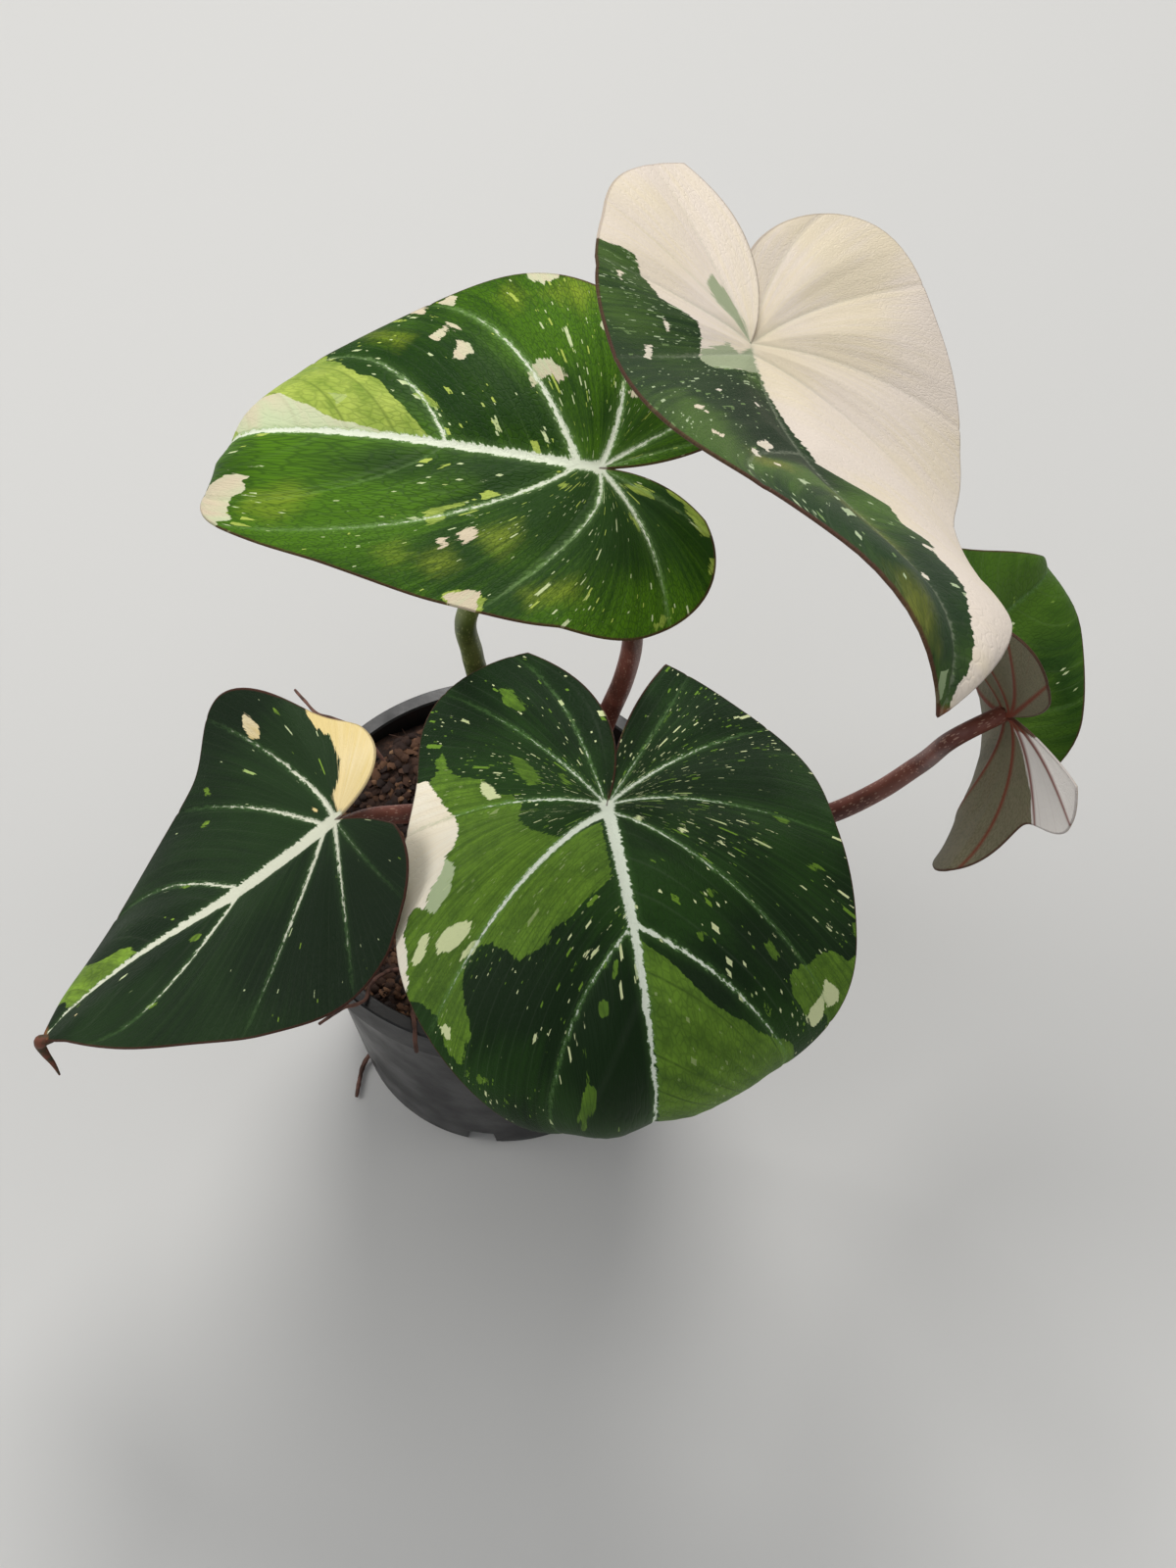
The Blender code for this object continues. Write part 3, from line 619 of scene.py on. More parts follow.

# ---- Blades ----
# Five heart-shaped leaves, each one velvety sheet under a millimetre thick.  Its main veins sink into
# the upper face and stand out beneath, and the blade is quilted between them.  The white, cream and
# lime sectors are tissue without green, so they follow the veins and have ragged edges.  Darker
# patches near the midribs of the first two leaves are painted shade.
BLADE_THICKNESS = 0.8
BLADE_QUILT = {1: 1.6, 2: 2.0, 3: 1.5, 4: 1.9, 5: 1.4}     # mm that the blade puffs up between veins
QUILT_WIDTH = 6.5              # mm from a vein to the full puff
QUILT_EDGE = 4                 # above 1, the puff lasts longer toward the margin
FOLD_HEIGHT = {1: 0.16, 2: 0.4, 3: 0.14, 4: 0.16, 5: 0.14}     # mm of the folds along the fine veins
FOLD_TURN = 0.55               # radians a mm across the veins
FOLD_WANDER = (1.2, 0.06)      # radians that the folds wander, and radians a mm along the veins
FOLD_FADE = 22.0               # mm from the joint at which they are full
FOLD_SWELL = (0.11, 0.05)      # radians a mm across and along, of their slow rise and fall
LOBE_LAP = {2: 1.0}            # mm that the right lobe rises, and the left one sinks, at the notch
VEIN_GROOVE = 0.35             # mm that the veins sink into the upper face
VEIN_RIB = 0.7                 # mm that they stand out beneath
MIDRIB_RIB = 1.3
JOINT_RIB = 0.4                # the rib's share of its height at the joint
MIDRIB_RIB_FADE = 0.7          # shares of their height that the ribs have lost at their ends
VEIN_RIB_FADE = 0.8
EDGE_ROUND = 0.25              # mm that the rounded margin stands out
LINE_STEP = 0.009              # spacing of the mesh's lines at the margin, as a share of it
SHARED_LINES = (30, 22, 20)    # lines to the first and second side vein and on to the tip
STATIONS = 76                  # points along each line
VEIN_START = 0.45              # veins that end past this share leave the midrib beyond the joint
VEIN_START_POWER = 1.25
LOBE_SHARE = 0.18              # share of the margin over which the notch's own bow fades
FOLD_WIDTH = 0.05              # lengths from the midrib over which the halves fold up
CURL_WIDTH = 0.6               # lengths from it at which the whole curl is reached
TIP_START = 0.72               # where the tip's hook starts
LOBES_END = -0.5               # the fold and curl don't change past this
REACH_KNOTS = (0.0, 0.09, 0.21, 0.36, 0.54, 0.72, 0.88, 1.0)     # shares of the angle from tip to lobe
LOBE_REACH = 0.4               # how far behind the joint the lobes take their full curl
BOW_CHANGE = (0.72, 0.12)      # where the veins' bow starts to change, and over what share
CROWDING = 0.55                # how far the mesh's lines crowd toward the veins
FEWEST_LINES = 4               # between two veins
STATION_POWER = 1.25           # above 1, the points crowd toward the margin
MIDRIB_KNOTS = (0, 0.3, 0.52, 1)               # where a leaf's midrib widths apply
MIDRIB_RIB_WIDTH = 1.6
VEIN_RIB_WIDTH = 1.1
VEIN_TAPER = 0.85              # share of its width that a vein has lost at its end
MIDRIB_FADE = 0.2              # share of its paleness that the midrib has lost at the tip
VEIN_FADE_POWER = 0.9
VEIN_POINT_STEP = 3            # every third point of a line will do to measure from it
MARGIN_LENGTH = 2.0            # from a lobe's end to the tip, roughly, as a share of the blade's length
HALF_SHIFT = 500               # mm that sets the left half's pattern apart from the right one's
JOINT_KNOT = 1.5               # radius of the pale knot at the joint, in midrib half widths
KNOT_WIDEST = 1.3
SWAY_WIDTH = 0.2
LAP_WIDTH = 0.08               # as a share of the length, either side of the notch
LAP_START = 0.035              # how far behind the joint the lap is full
RIM_SIDE = 0.3                 # the rim's place between the upper side's 0 and the underside's 1
GROOVE_WIDTH = 0.9
GROOVE_SHOULDER = 0.6          # mm inside a vein's edge where the groove starts to rise
FAR = 20.0                     # mm at which a distance no longer matters

# A half: the angle from the tip round to the lobe's end, how far the notch bows, the fold at the
# midrib (joint, tip), the curl across (lobe, joint, tip) in degrees, the outline's reach past the tip
# as shares of the length.  Then its veins: where each starts, for those that fan out from the joint,
# and ends, as shares of the margin from the lobe's end to the tip, its half width in mm and how pale
# it is, both at its foot.
Half = namedtuple("Half", "back bow fold curl reach fan sides")
# A leaf: its joint in mm, compass heading of the tip (0 = +Y, 90 = +X), pitch, roll, length in mm from
# joint to tip, the bend along the midrib (rate, growth, tip hook, lobes), the twist, where the two side
# veins leave the midrib, the midrib's half width in mm at the joint, a third and half way along and at
# the tip, how pale the midrib is, and how far the veins bow, those to the margin's middle and those to
# the tip.
Leaf = namedtuple("Leaf", "joint heading pitch roll length bend sag tip lobes twist starts widths "
                          "pale bows left right")
LEAVES = {
    1: Leaf((29, 4, 285), -79, 0, -9, 104, 10, -45, -64, 20, 9,
            (.50, .69), (1.15, 1.0, .85, .4), 1, (.14, .10),
            Half(159, .22, (16, 7), (-31, -5, -21), (.92, .67, .52, .46, .46, .40, .28),
                 ((.10, .04, .3, .3), (.23, .24, .55, .95), (.42, .58, .48, .8)),
                 ((.89, .55, .85), (.95, .2, .12))),
            Half(161, .09, (21, -16), (-19, -9, -49), (.85, .68, .55, .40, .35, .31, .24),
                 ((.14, .02, .3, .35), (.24, .10, .5, .9), (.44, .465, .65, 1.0)),
                 ((.755, .75, 1.0), (.89, .5, .7)))),
    2: Leaf((63, 9, 326), 174, 6, -34, 141, 100, -89, -71, 20, -14,
            (.48, .66), (.3, .25, .2, .1), .2, (.14, .08),
            Half(162, .28, (-2, 26), (5, -12, -83), (.75, .56, .45, .48, .48, .47, .32),
                 ((.12, .06, .3, .12), (.25, .22, .35, .15), (.42, .41, .35, .15)),
                 ((.62, .35, .15), (.82, .3, .12))),
            Half(166, .31, (-1, -7), (-12, 24, -36), (.70, .56, .39, .32, .31, .36, .37),
                 ((.14, .06, .3, .15), (.26, .22, .35, .2), (.42, .42, .35, .25)),
                 ((.68, .35, .25), (.88, .3, .2)))),
    3: Leaf((-41, -24, 165), 245, -27, 27, 105, -2, -5, 1, -18, 0,
            (.48, .66), (2.5, 2.3, 1.35, .1), 1, (.06, .04),
            Half(136, .02, (-1, -3), (-18, -44, -29), (.85, .69, .59, .52, .41, .31, .21),
                 ((.30, .22, .35, .45), (.43, .45, .6, .9)), ((.68, .65, .95), (.93, .6, .9))),
            Half(138, .42, (5, -7), (-46, 57, -26), (.83, .68, .55, .56, .34, .28, .215),
                 ((.20, .16, .2, .0), (.44, .51, .7, .95)), ((.69, .6, .9), (.86, .55, .85)))),
    4: Leaf((31, -34, 190), 170, 20, 0, 129, -76, -106, -16, 10, -9,
            (.475, .655), (1.5, 1.15, .5, .14), 1, (.14, .03),
            Half(155, .11, (-10, -2), (-32, -14, -19), (.87, .74, .57, .48, .49, .47, .48),
                 ((.15, .04, .4, .55), (.25, .20, .55, .85), (.44, .48, .5, .7)),
                 ((.80, .5, .6), (.87, .6, .85))),
            Half(171, .32, (-8, -2), (-17, -37, -52), (.85, .70, .56, .47, .455, .56, .52),
                 ((.09, .02, .35, .5), (.16, .12, .45, .65), (.37, .36, .5, .8)),
                 ((.75, 1.05, 1.0), (.965, .45, .5)))),
    5: Leaf((137, -7, 190), -37, -30, 97, 90, 126, -32, -85, -10, -7,
            (.48, .66), (.9, .7, .5, .2), .25, (.14, .08),
            Half(148, .15, (-16, -14), (16, -15, -2), (.75, .61, .56, .51, .46, .41, .28),
                 ((.17, .06, .4, .35), (.26, .23, .4, .35), (.44, .42, .4, .35)),
                 ((.62, .4, .35), (.84, .35, .35))),
            Half(162, .03, (-21, 27), (22, -45, 57), (.89, .82, .66, .52, .32, .39, .33),
                 ((.10, .10, .4, .35), (.25, .23, .4, .35), (.42, .43, .4, .35)),
                 ((.62, .4, .35), (.84, .35, .35)))),
}
# How far the third leaf's midrib sways to the right, at shares of the way to its tip
SWAY = {3: ((0, .1, .25, .35, .5, .65, .8, .92, 1), (0, -.014, -.02, -.014, .006, .028, .035, .03, 0))}
GAUSS_X, GAUSS_W = np.polynomial.legendre.leggauss(6)
GAUSS_X, GAUSS_W = (GAUSS_X + 1) / 2, GAUSS_W / 2


def leaf_axes(leaf):
    """Unit vectors toward the tip, to the right and out of the upper face, at the joint."""
    heading, pitch, roll = (math.radians(a) for a in (leaf.heading, leaf.pitch, leaf.roll))
    ahead = np.array([math.sin(heading) * math.cos(pitch), math.cos(heading) * math.cos(pitch),
                      math.sin(pitch)])
    level = np.array([math.cos(heading), -math.sin(heading), 0.0])
    up = np.cross(level, ahead)
    right = level * math.cos(roll) - up * math.sin(roll)
    return ahead, right, up * math.cos(roll) + level * math.sin(roll)


def midrib(leaf, v):
    """Forward and upward travel along the midrib to v, and its slope there, in radians."""
    def slope(x):
        hook = leaf.tip * np.clip(x - TIP_START, 0, None)**2 / (1 - TIP_START)**2
        return np.radians(np.where(x > 0, leaf.bend * x + leaf.sag * x * x + hook, leaf.lobes * x))
    angles = slope(v[..., None] * GAUSS_X)
    return (np.cos(angles) * GAUSS_W).sum(-1) * v, (np.sin(angles) * GAUSS_W).sum(-1) * v, slope(v)


def bend(leaf, u, v):
    """Where the flat point (u to the right, v toward the tip, as shares of the length) lies, in mm."""
    u, v = np.asarray(u, float), np.asarray(v, float)
    ahead, right, up = leaf_axes(leaf)
    forward, rise, slope = midrib(leaf, v)
    across = np.abs(u)
    fold_joint, fold_tip, curl_lobe, curl_joint, curl_tip = [
        np.where(u > 0, r, l) for r, l in zip((*leaf.right.fold, *leaf.right.curl),
                                              (*leaf.left.fold, *leaf.left.curl))]
    v = np.clip(v, LOBES_END, 1.0)
    past, behind = np.clip(v, 0, 1), np.clip(-v / LOBE_REACH, 0, 1)
    fold = np.radians(fold_joint + (fold_tip - fold_joint) * past)
    curl = np.radians(curl_joint + (curl_tip - curl_joint) * past + (curl_lobe - curl_joint) * behind)
    x = across[..., None] * GAUSS_X
    angle = fold[..., None] * (1 - np.exp(-x / FOLD_WIDTH)) + curl[..., None] * x / CURL_WIDTH
    out, lift = (np.cos(angle) * GAUSS_W).sum(-1) * across, (np.sin(angle) * GAUSS_W).sum(-1) * across
    twist = math.radians(leaf.twist) * v
    sideways = np.sign(u) * out * np.cos(twist) + lift * np.sin(twist)
    outward = lift * np.cos(twist) - np.sign(u) * out * np.sin(twist)
    normal = np.cos(slope)[..., None] * up - np.sin(slope)[..., None] * ahead
    return np.array(leaf.joint) + leaf.length * (
        forward[..., None] * ahead + rise[..., None] * up
        + sideways[..., None] * right + outward[..., None] * normal)


def blade_normal(leaf, u, v, step=0.002):
    """Unit vector out of the upper face at the flat point."""
    along_u = bend(leaf, u + step, v) - bend(leaf, u - step, v)
    along_v = bend(leaf, u, v + step) - bend(leaf, u, v - step)
    normal = np.cross(along_u, along_v)
    return normal / np.linalg.norm(normal, axis=-1, keepdims=True)


def vein_points(leaf, half, share, t):
    """Flat points at shares t of the veins that head for the given shares of the margin."""
    angle = half.back * (1 - share)
    reach = hermite([k * half.back for k in REACH_KNOTS], [1.0, *half.reach], angle)
    edge_u, edge_v = reach * np.sin(np.radians(angle)), reach * np.cos(np.radians(angle))
    base = (np.clip(share - VEIN_START, 0, None) / (1 - VEIN_START))**VEIN_START_POWER
    ahead = edge_v - base
    tipward = np.clip((share - BOW_CHANGE[0]) / BOW_CHANGE[1], 0, 1)
    vein_bow = leaf.bows[0] + (leaf.bows[1] - leaf.bows[0]) * tipward * tipward * (3 - 2 * tipward)
    bow = vein_bow + (half.bow - vein_bow) * np.clip(1 - share / LOBE_SHARE, 0, None)**2
    middle_u, middle_v = 0.5 * edge_u + bow * ahead, base + 0.5 * ahead - bow * edge_u
    u = 2 * t * (1 - t) * middle_u + t * t * edge_u
    return u, (1 - t)**2 * base + 2 * t * (1 - t) * middle_v + t * t * edge_v


def half_lines(leaf, half):
    """The half's mesh lines as rows of (start, end), and which rows are its veins.

    The lines crowd toward the veins, so that grooves and ribs are drawn cleanly.
    """
    def crowd(count):
        x = np.arange(1, count + 1) / count
        return x - CROWDING * np.sin(2 * math.pi * x) / (2 * math.pi)

    rows, veins = [(0.0, 0.0)], []
    for start, end, _, _ in half.fan:
        first = rows[-1]
        for x in crowd(max(FEWEST_LINES, round((end - first[1]) / LINE_STEP))):
            rows.append((first[0] + (start - first[0]) * x, first[1] + (end - first[1]) * x))
        veins.append(len(rows) - 1)
    fan_rows = len(rows)
    begin, last_end = VEIN_START, rows[-1][1]
    ends = (half.sides[0][0], half.sides[1][0], 1.0)
    for count, start, end in zip(SHARED_LINES, (*leaf.starts, 1.0), ends):
        for x in crowd(count):
            rows.append((begin + (start - begin) * x, last_end + (end - last_end) * x))
        begin, last_end = start, end
        veins.append(len(rows) - 1)
    return np.array(rows), veins[:-1], fan_rows


def segment_distance(x, y, line):
    """Distance of each point from a polyline and the share of the way along it, in its own units."""
    best, where = np.full(x.shape, 1e9), np.zeros(x.shape)
    for i in range(len(line) - 1):
        (ax, ay), (bx, by) = line[i], line[i + 1]
        dx, dy = bx - ax, by - ay
        t = np.clip(((x - ax) * dx + (y - ay) * dy) / max(dx * dx + dy * dy, 1e-12), 0, 1)
        away = np.hypot(x - ax - t * dx, y - ay - t * dy)
        closer = away < best
        best[closer], where[closer] = away[closer], ((i + t) / (len(line) - 1))[closer]
    return best, where


def patch_distance(x, y, outlines):
    """Signed distance from the nearest of the closed outlines; inside is negative."""
    best = np.full(x.shape, 1e9)
    for outline in outlines:
        closed = [*outline, outline[0]]
        away, _ = segment_distance(x, y, closed)
        inside = np.zeros(x.shape, bool)
        for (ax, ay), (bx, by) in zip(closed, closed[1:]):
            crosses = (ay > y) != (by > y)
            with np.errstate(divide="ignore", invalid="ignore"):
                inside ^= crosses & (x < (bx - ax) * (y - ay) / (by - ay) + ax)
        best = np.minimum(best, np.where(inside, -away, away))
    return best


# Sectors and patches of each leaf by tissue, and patches of painted shade, as outlines in the flat
# leaf: (to the right of the midrib, toward the tip), as shares of the leaf's length.  An outline may
# run past the margin, and a leaf with no green ones is green all over.
PATCHES = {
    1: {
        "cream": (
            ((.0, .44), (.012, .50), (.02, .58), (.036, .65), (.06, .70), (.085, .75), (.105, .80),
             (.102, .86), (.105, .93), (.07, 1.0), (.04, .97), (.02, .92), (.004, .88), (.0, .8)),
            ((-.265, .79), (-.245, .815), (-.205, .82), (-.18, .79), (-.145, .79), (-.132, .85),
             (-.14, .92), (-.20, .97), (-.34, .93), (-.30, .83), (-.265, .83)),
            ((-.125, .85), (-.115, .875), (-.105, .86), (-.113, .847)),
            ((-.082, .785), (-.073, .78), (-.07, .76), (-.077, .762)),
            ((-.095, .735), (-.085, .735), (-.079, .71), (-.087, .705)),
            ((.20, .205), (.235, .19), (.238, .16), (.22, .125), (.20, .11), (.185, .128), (.205, .15),
             (.19, .175), (.165, .185)),
            ((.255, .43), (.28, .455), (.298, .445), (.315, .432), (.29, .42)),
            ((.30, .388), (.318, .428), (.336, .436), (.322, .405)),
            ((.385, .43), (.407, .47), (.425, .45), (.42, .425)),
            ((.37, .50), (.385, .54), (.41, .53), (.395, .498)),
            ((.20, .36), (.215, .385), (.272, .385), (.26, .352), (.235, .34), (.225, .357)),
            ((.43, .20), (.45, .255), (.50, .28), (.50, .17), (.45, .18)),
            ((-.305, .305), (-.28, .318), (-.266, .303), (-.295, .287)),
            ((-.29, .255), (-.255, .275), (-.223, .247), (-.24, .23), (-.27, .24)),
            ((-.50, .19), (-.45, .25), (-.42, .272), (-.40, .22), (-.395, .195)),
            ((.318, .04), (.33, .062), (.34, .05), (.33, .038)),
            ((.172, -.055), (.185, -.03), (.195, -.05), (.185, -.068)),
        ),
        "lime": (
            ((.005, .40), (.05, .445), (.075, .47), (.10, .50), (.125, .535), (.15, .55), (.165, .60),
             (.19, .65), (.22, .68), (.235, .72), (.27, .75), (.34, .80), (.2, 1.0), (.0, 1.1),
             (.0, .6)),
            ((.08, .385), (.10, .40), (.12, .43), (.138, .455), (.12, .462), (.10, .43)),
            ((-.24, .345), (-.22, .36), (-.19, .35), (-.175, .315), (-.152, .272), (-.165, .278),
             (-.19, .32), (-.215, .313)),
            ((-.082, .075), (-.068, .083), (-.055, .07), (-.066, .06)),
            ((-.08, .36), (-.07, .358), (-.058, .33), (-.067, .338)),
            ((-.03, -.165), (-.04, -.16), (-.065, -.205), (-.10, -.235), (-.15, -.262), (-.14, -.285),
             (-.06, -.27), (-.02, -.2)),
            ((-.20, -.292), (-.24, -.297), (-.24, -.32), (-.19, -.31)),
            ((-.035, -.055), (-.03, -.09), (-.045, -.135), (-.062, -.137), (-.055, -.095)),
            ((-.16, -.122), (-.12, -.092), (-.11, -.09), (-.135, -.115)),
            ((-.39, -.20), (-.355, -.22), (-.36, -.235), (-.40, -.21)),
            ((-.50, .24), (-.44, .265), (-.415, .28), (-.40, .24), (-.41, .18), (-.5, .18)),
        ),
        "glow": (
            ((-.27, .70), (-.24, .78), (-.20, .78), (-.17, .68), (-.19, .62), (-.24, .65)),
            ((-.38, .30), (-.34, .34), (-.30, .29), (-.34, .26)),
            ((.26, .53), (.31, .63), (.34, .66), (.32, .58), (.28, .51)),
            ((.36, .10), (.40, .20), (.46, .16), (.42, .08)),
            ((-.42, .08), (-.38, .10), (-.33, -.01), (-.38, -.02)),
            ((.36, .26), (.40, .31), (.44, .30), (.40, .25)),
            ((-.36, .40), (-.33, .44), (-.30, .40), (-.33, .37)),
            ((-.30, .17), (-.25, .24), (-.20, .15), (-.25, .14)),
        ),
        # painted shade: darker patches near the midrib
        "painted_shade": (
            ((.02, .08), (.10, .06), (.20, .22), (.30, .34), (.32, .50), (.24, .60), (.14, .48),
             (.04, .36)),
            ((-.02, .20), (-.02, .50), (-.12, .62), (-.14, .45), (-.10, .25)),
            ((-.04, -.04), (-.04, -.22), (-.12, -.14)),
        ),
    },
    2: {
        "green": (
            ((.0, .055), (.03, .085), (.05, .095), (.09, .11), (.11, .125), (.125, .105), (.115, .05),
             (.122, .02), (.15, .01), (.195, .005), (.205, -.03), (.215, -.05), (.225, -.085),
             (.25, -.09), (.275, -.085), (.40, -.10), (.45, .5), (.2, 1.0), (.0, 1.02), (-.008, .97),
             (-.025, .93), (-.035, .88), (-.045, .82), (-.068, .75), (-.082, .70), (-.08, .65),
             (-.095, .60), (-.115, .548), (-.085, .54), (-.09, .47), (-.102, .42), (-.09, .375),
             (-.07, .34), (-.035, .325), (-.02, .28), (-.012, .2), (-.004, .12)),
        ),
        "sage": (
            ((.0, .01), (.03, .038), (.055, .03), (.085, .055), (.118, .075), (.128, .11), (.112, .128),
             (.08, .112), (.03, .092), (.0, .07)),
            ((.0, .0), (.03, -.03), (.06, -.06), (.077, -.095), (.066, -.12), (.045, -.095),
             (.022, -.055)),
        ),
        "cream": (
            ((-.10, .60), (-.085, .648), (-.068, .62), (-.073, .59)),
            ((-.025, .69), (-.005, .77), (.003, .755), (-.012, .70)),
            ((.003, .81), (.01, .83), (.016, .82), (.01, .805)),
            ((.075, .34), (.10, .375), (.128, .372), (.11, .35), (.085, .333)),
            ((.205, .32), (.22, .365), (.24, .367), (.225, .335)),
            ((.205, .41), (.225, .447), (.247, .45), (.23, .425)),
            ((.13, .40), (.145, .435), (.157, .43), (.145, .403)),
            ((.185, .058), (.195, .085), (.206, .08), (.20, .06)),
            ((.238, .148), (.253, .195), (.267, .195), (.256, .163)),
            ((.262, -.02), (.275, .008), (.284, .004), (.27, -.02)),
            ((.125, .455), (.135, .48), (.145, .478), (.135, .455)),
            ((.13, .218), (.14, .235), (.15, .232), (.14, .216)),
            ((.045, .195), (.056, .212), (.063, .205), (.054, .193)),
        ),
        "glow": (
            ((.0, .50), (-.01, .62), (.01, .72), (.05, .70), (.08, .60), (.06, .50)),
            ((.10, .44), (.12, .50), (.17, .50), (.16, .43)),
            ((.05, .80), (.04, .92), (.10, .90), (.10, .80)),
        ),
        # painted shade: darker patches near the midrib
        "painted_shade": (
            ((-.02, .10), (.12, .16), (.16, .30), (.10, .42), (.0, .44), (-.06, .42), (-.04, .36),
             (.0, .30)),
            ((-.08, .56), (-.06, .72), (-.02, .88), (-.01, .80), (-.03, .60)),
        ),
        "dry": (((-.06, .985), (.06, .985), (.06, 1.1), (-.06, 1.1)),),
    },
    3: {
        "cream": (
            ((.02, -.012), (.08, -.015), (.12, -.045), (.17, -.064), (.25, -.065), (.29, -.045),
             (.335, -.033), (.40, -.06), (.3, -.25), (.0, -.25), (-.02, -.02)),
            ((.37, .105), (.39, .125), (.43, .13), (.45, .11), (.43, .095), (.40, .084), (.38, .094)),
            ((.062, .042), (.072, .05), (.08, .045), (.07, .036)),
            ((-.032, .862), (-.022, .885), (-.015, .875), (-.025, .855)),
        ),
        "lime": (
            ((.036, .64), (.07, .665), (.092, .72), (.112, .77), (.13, .81), (.19, .86), (.10, 1.0),
             (.07, .905), (.036, .905), (.036, .8)),
            ((.345, .308), (.36, .322), (.385, .33), (.37, .305)),
            ((.27, .345), (.28, .365), (.288, .36), (.278, .343)),
            ((.135, .62), (.15, .645), (.158, .64), (.145, .618)),
            ((-.082, .445), (-.078, .48), (-.066, .485), (-.068, .455)),
            ((-.18, .62), (-.177, .65), (-.165, .66), (-.168, .63)),
            ((.125, .45), (.14, .475), (.155, .485), (.145, .458)),
            ((.375, .015), (.39, .028), (.40, .024), (.385, .01)),
            ((.0, .843), (.004, .86), (.012, .862), (.008, .845)),
        ),
        "dry": (((-.06, .975), (.06, .975), (.06, 1.1), (-.06, 1.1)),),
    },
    4: {
        "cream": (
            ((.50, .36), (.478, .31), (.472, .26), (.468, .20), (.472, .14), (.455, .09), (.435, .072),
             (.41, .10), (.39, .05), (.36, .02), (.345, -.02), (.315, -.035), (.303, -.075),
             (.31, -.13), (.33, -.19), (.348, -.255), (.45, -.3), (.6, 0), (.6, .3)),
        ),
        "spot": (
            ((.31, .197), (.32, .225), (.36, .25), (.40, .256), (.395, .22), (.375, .195),
             (.345, .187)),
            ((.408, .178), (.41, .205), (.435, .252), (.458, .26), (.455, .225), (.435, .19),
             (.42, .17)),
            ((.305, .247), (.325, .277), (.352, .284), (.345, .265), (.32, .245)),
            ((.39, .465), (.395, .487), (.41, .48), (.417, .445), (.402, .442)),
            ((.205, -.12), (.213, -.15), (.235, -.182), (.241, -.15), (.227, -.125)),
            ((-.412, .53), (-.402, .57), (-.38, .577), (-.372, .52), (-.377, .478), (-.393, .50)),
            ((-.365, .615), (-.345, .617), (-.33, .60), (-.33, .565), (-.345, .545), (-.37, .532),
             (-.377, .56)),
            ((.213, .472), (.222, .497), (.238, .502), (.235, .485)),
            ((.07, .325), (.09, .345), (.105, .342), (.09, .325)),
            ((-.15, .09), (-.135, .093), (-.128, .083), (-.14, .082)),
            ((-.22, .13), (-.20, .131), (-.19, .124), (-.21, .122)),
            ((-.065, .05), (-.055, .055), (-.045, .045), (-.057, .042)),
        ),
        "sage": (
            ((.41, .10), (.388, .135), (.35, .10), (.335, .06), (.322, .02), (.345, -.02), (.37, .02),
             (.39, .05)),
        ),
        "lime": (
            ((.02, .05), (.022, .19), (.06, .215), (.10, .245), (.12, .265), (.155, .275), (.16, .30),
             (.19, .31), (.23, .325), (.24, .30), (.26, .29), (.28, .265), (.33, .26), (.345, .30),
             (.357, .36), (.35, .42), (.345, .475), (.365, .50), (.375, .56), (.40, .54), (.415, .47),
             (.42, .42), (.45, .37), (.475, .36), (.60, .30), (.60, .0), (.45, -.25), (.348, -.25),
             (.32, -.26), (.327, -.30), (.302, -.31), (.30, -.26),
             (.28, -.22), (.25, -.20), (.23, -.18), (.215, -.13), (.18, -.112), (.167, -.08),
             (.175, -.02), (.158, .02), (.12, .05), (.09, .065), (.05, .055)),
            ((-.005, .32), (-.05, .365), (-.10, .43), (-.15, .49), (-.20, .535), (-.24, .59),
             (-.28, .62), (-.30, .66), (-.305, .72), (-.31, .80), (-.2, 1.1), (-.006, 1.1)),
            ((-.50, .40), (-.50, .55), (-.42, .60), (-.385, .67), (-.378, .60), (-.36, .57),
             (-.33, .57), (-.32, .54), (-.302, .50), (-.298, .445), (-.33, .43), (-.35, .433),
             (-.37, .41), (-.395, .405), (-.42, .42), (-.435, .45)),
            ((.32, .595), (.335, .61), (.35, .60), (.345, .575), (.33, .58)),
            ((.115, .60), (.12, .65), (.135, .70), (.145, .75), (.155, .70), (.142, .62), (.13, .593)),
            ((.11, -.11), (.14, -.115), (.16, -.16), (.165, -.22), (.145, -.20), (.125, -.16)),
            ((.105, -.335), (.125, -.34), (.155, -.38), (.155, -.43), (.13, -.41), (.118, -.37)),
            ((.055, -.08), (.07, -.085), (.08, -.125), (.07, -.12)),
            ((-.287, .40), (-.27, .408), (-.253, .37), (-.27, .353)),
            ((.07, .43), (.078, .463), (.094, .455), (.085, .425)),
            ((-.18, .245), (-.165, .262), (-.14, .245), (-.16, .232)),
            ((-.42, .19), (-.39, .197), (-.375, .182), (-.40, .17)),
            ((-.50, .385), (-.465, .385), (-.448, .35), (-.47, .33), (-.5, .33)),
            ((-.375, .045), (-.355, .055), (-.34, .03), (-.36, .03)),
            ((-.085, .17), (-.065, .175), (-.05, .165), (-.07, .16)),
            ((.04, .36), (.05, .39), (.062, .392), (.045, .355)),
            ((-.14, .33), (-.13, .345), (-.115, .33), (-.125, .322)),
        ),
    },
    5: {
        "cream": (
            ((.035, -.02), (.08, -.055), (.14, -.10), (.20, -.145), (.30, -.19), (.4, -.4), (.0, -.45)),
        ),
        "glow": (
            ((.20, .50), (.26, .72), (.38, .66), (.40, .50), (.30, .42)),
        ),
    },
}
TISSUES_AND_SHADE = ("cream", "spot", "sage", "lime", "green", "glow", "painted_shade", "dry")


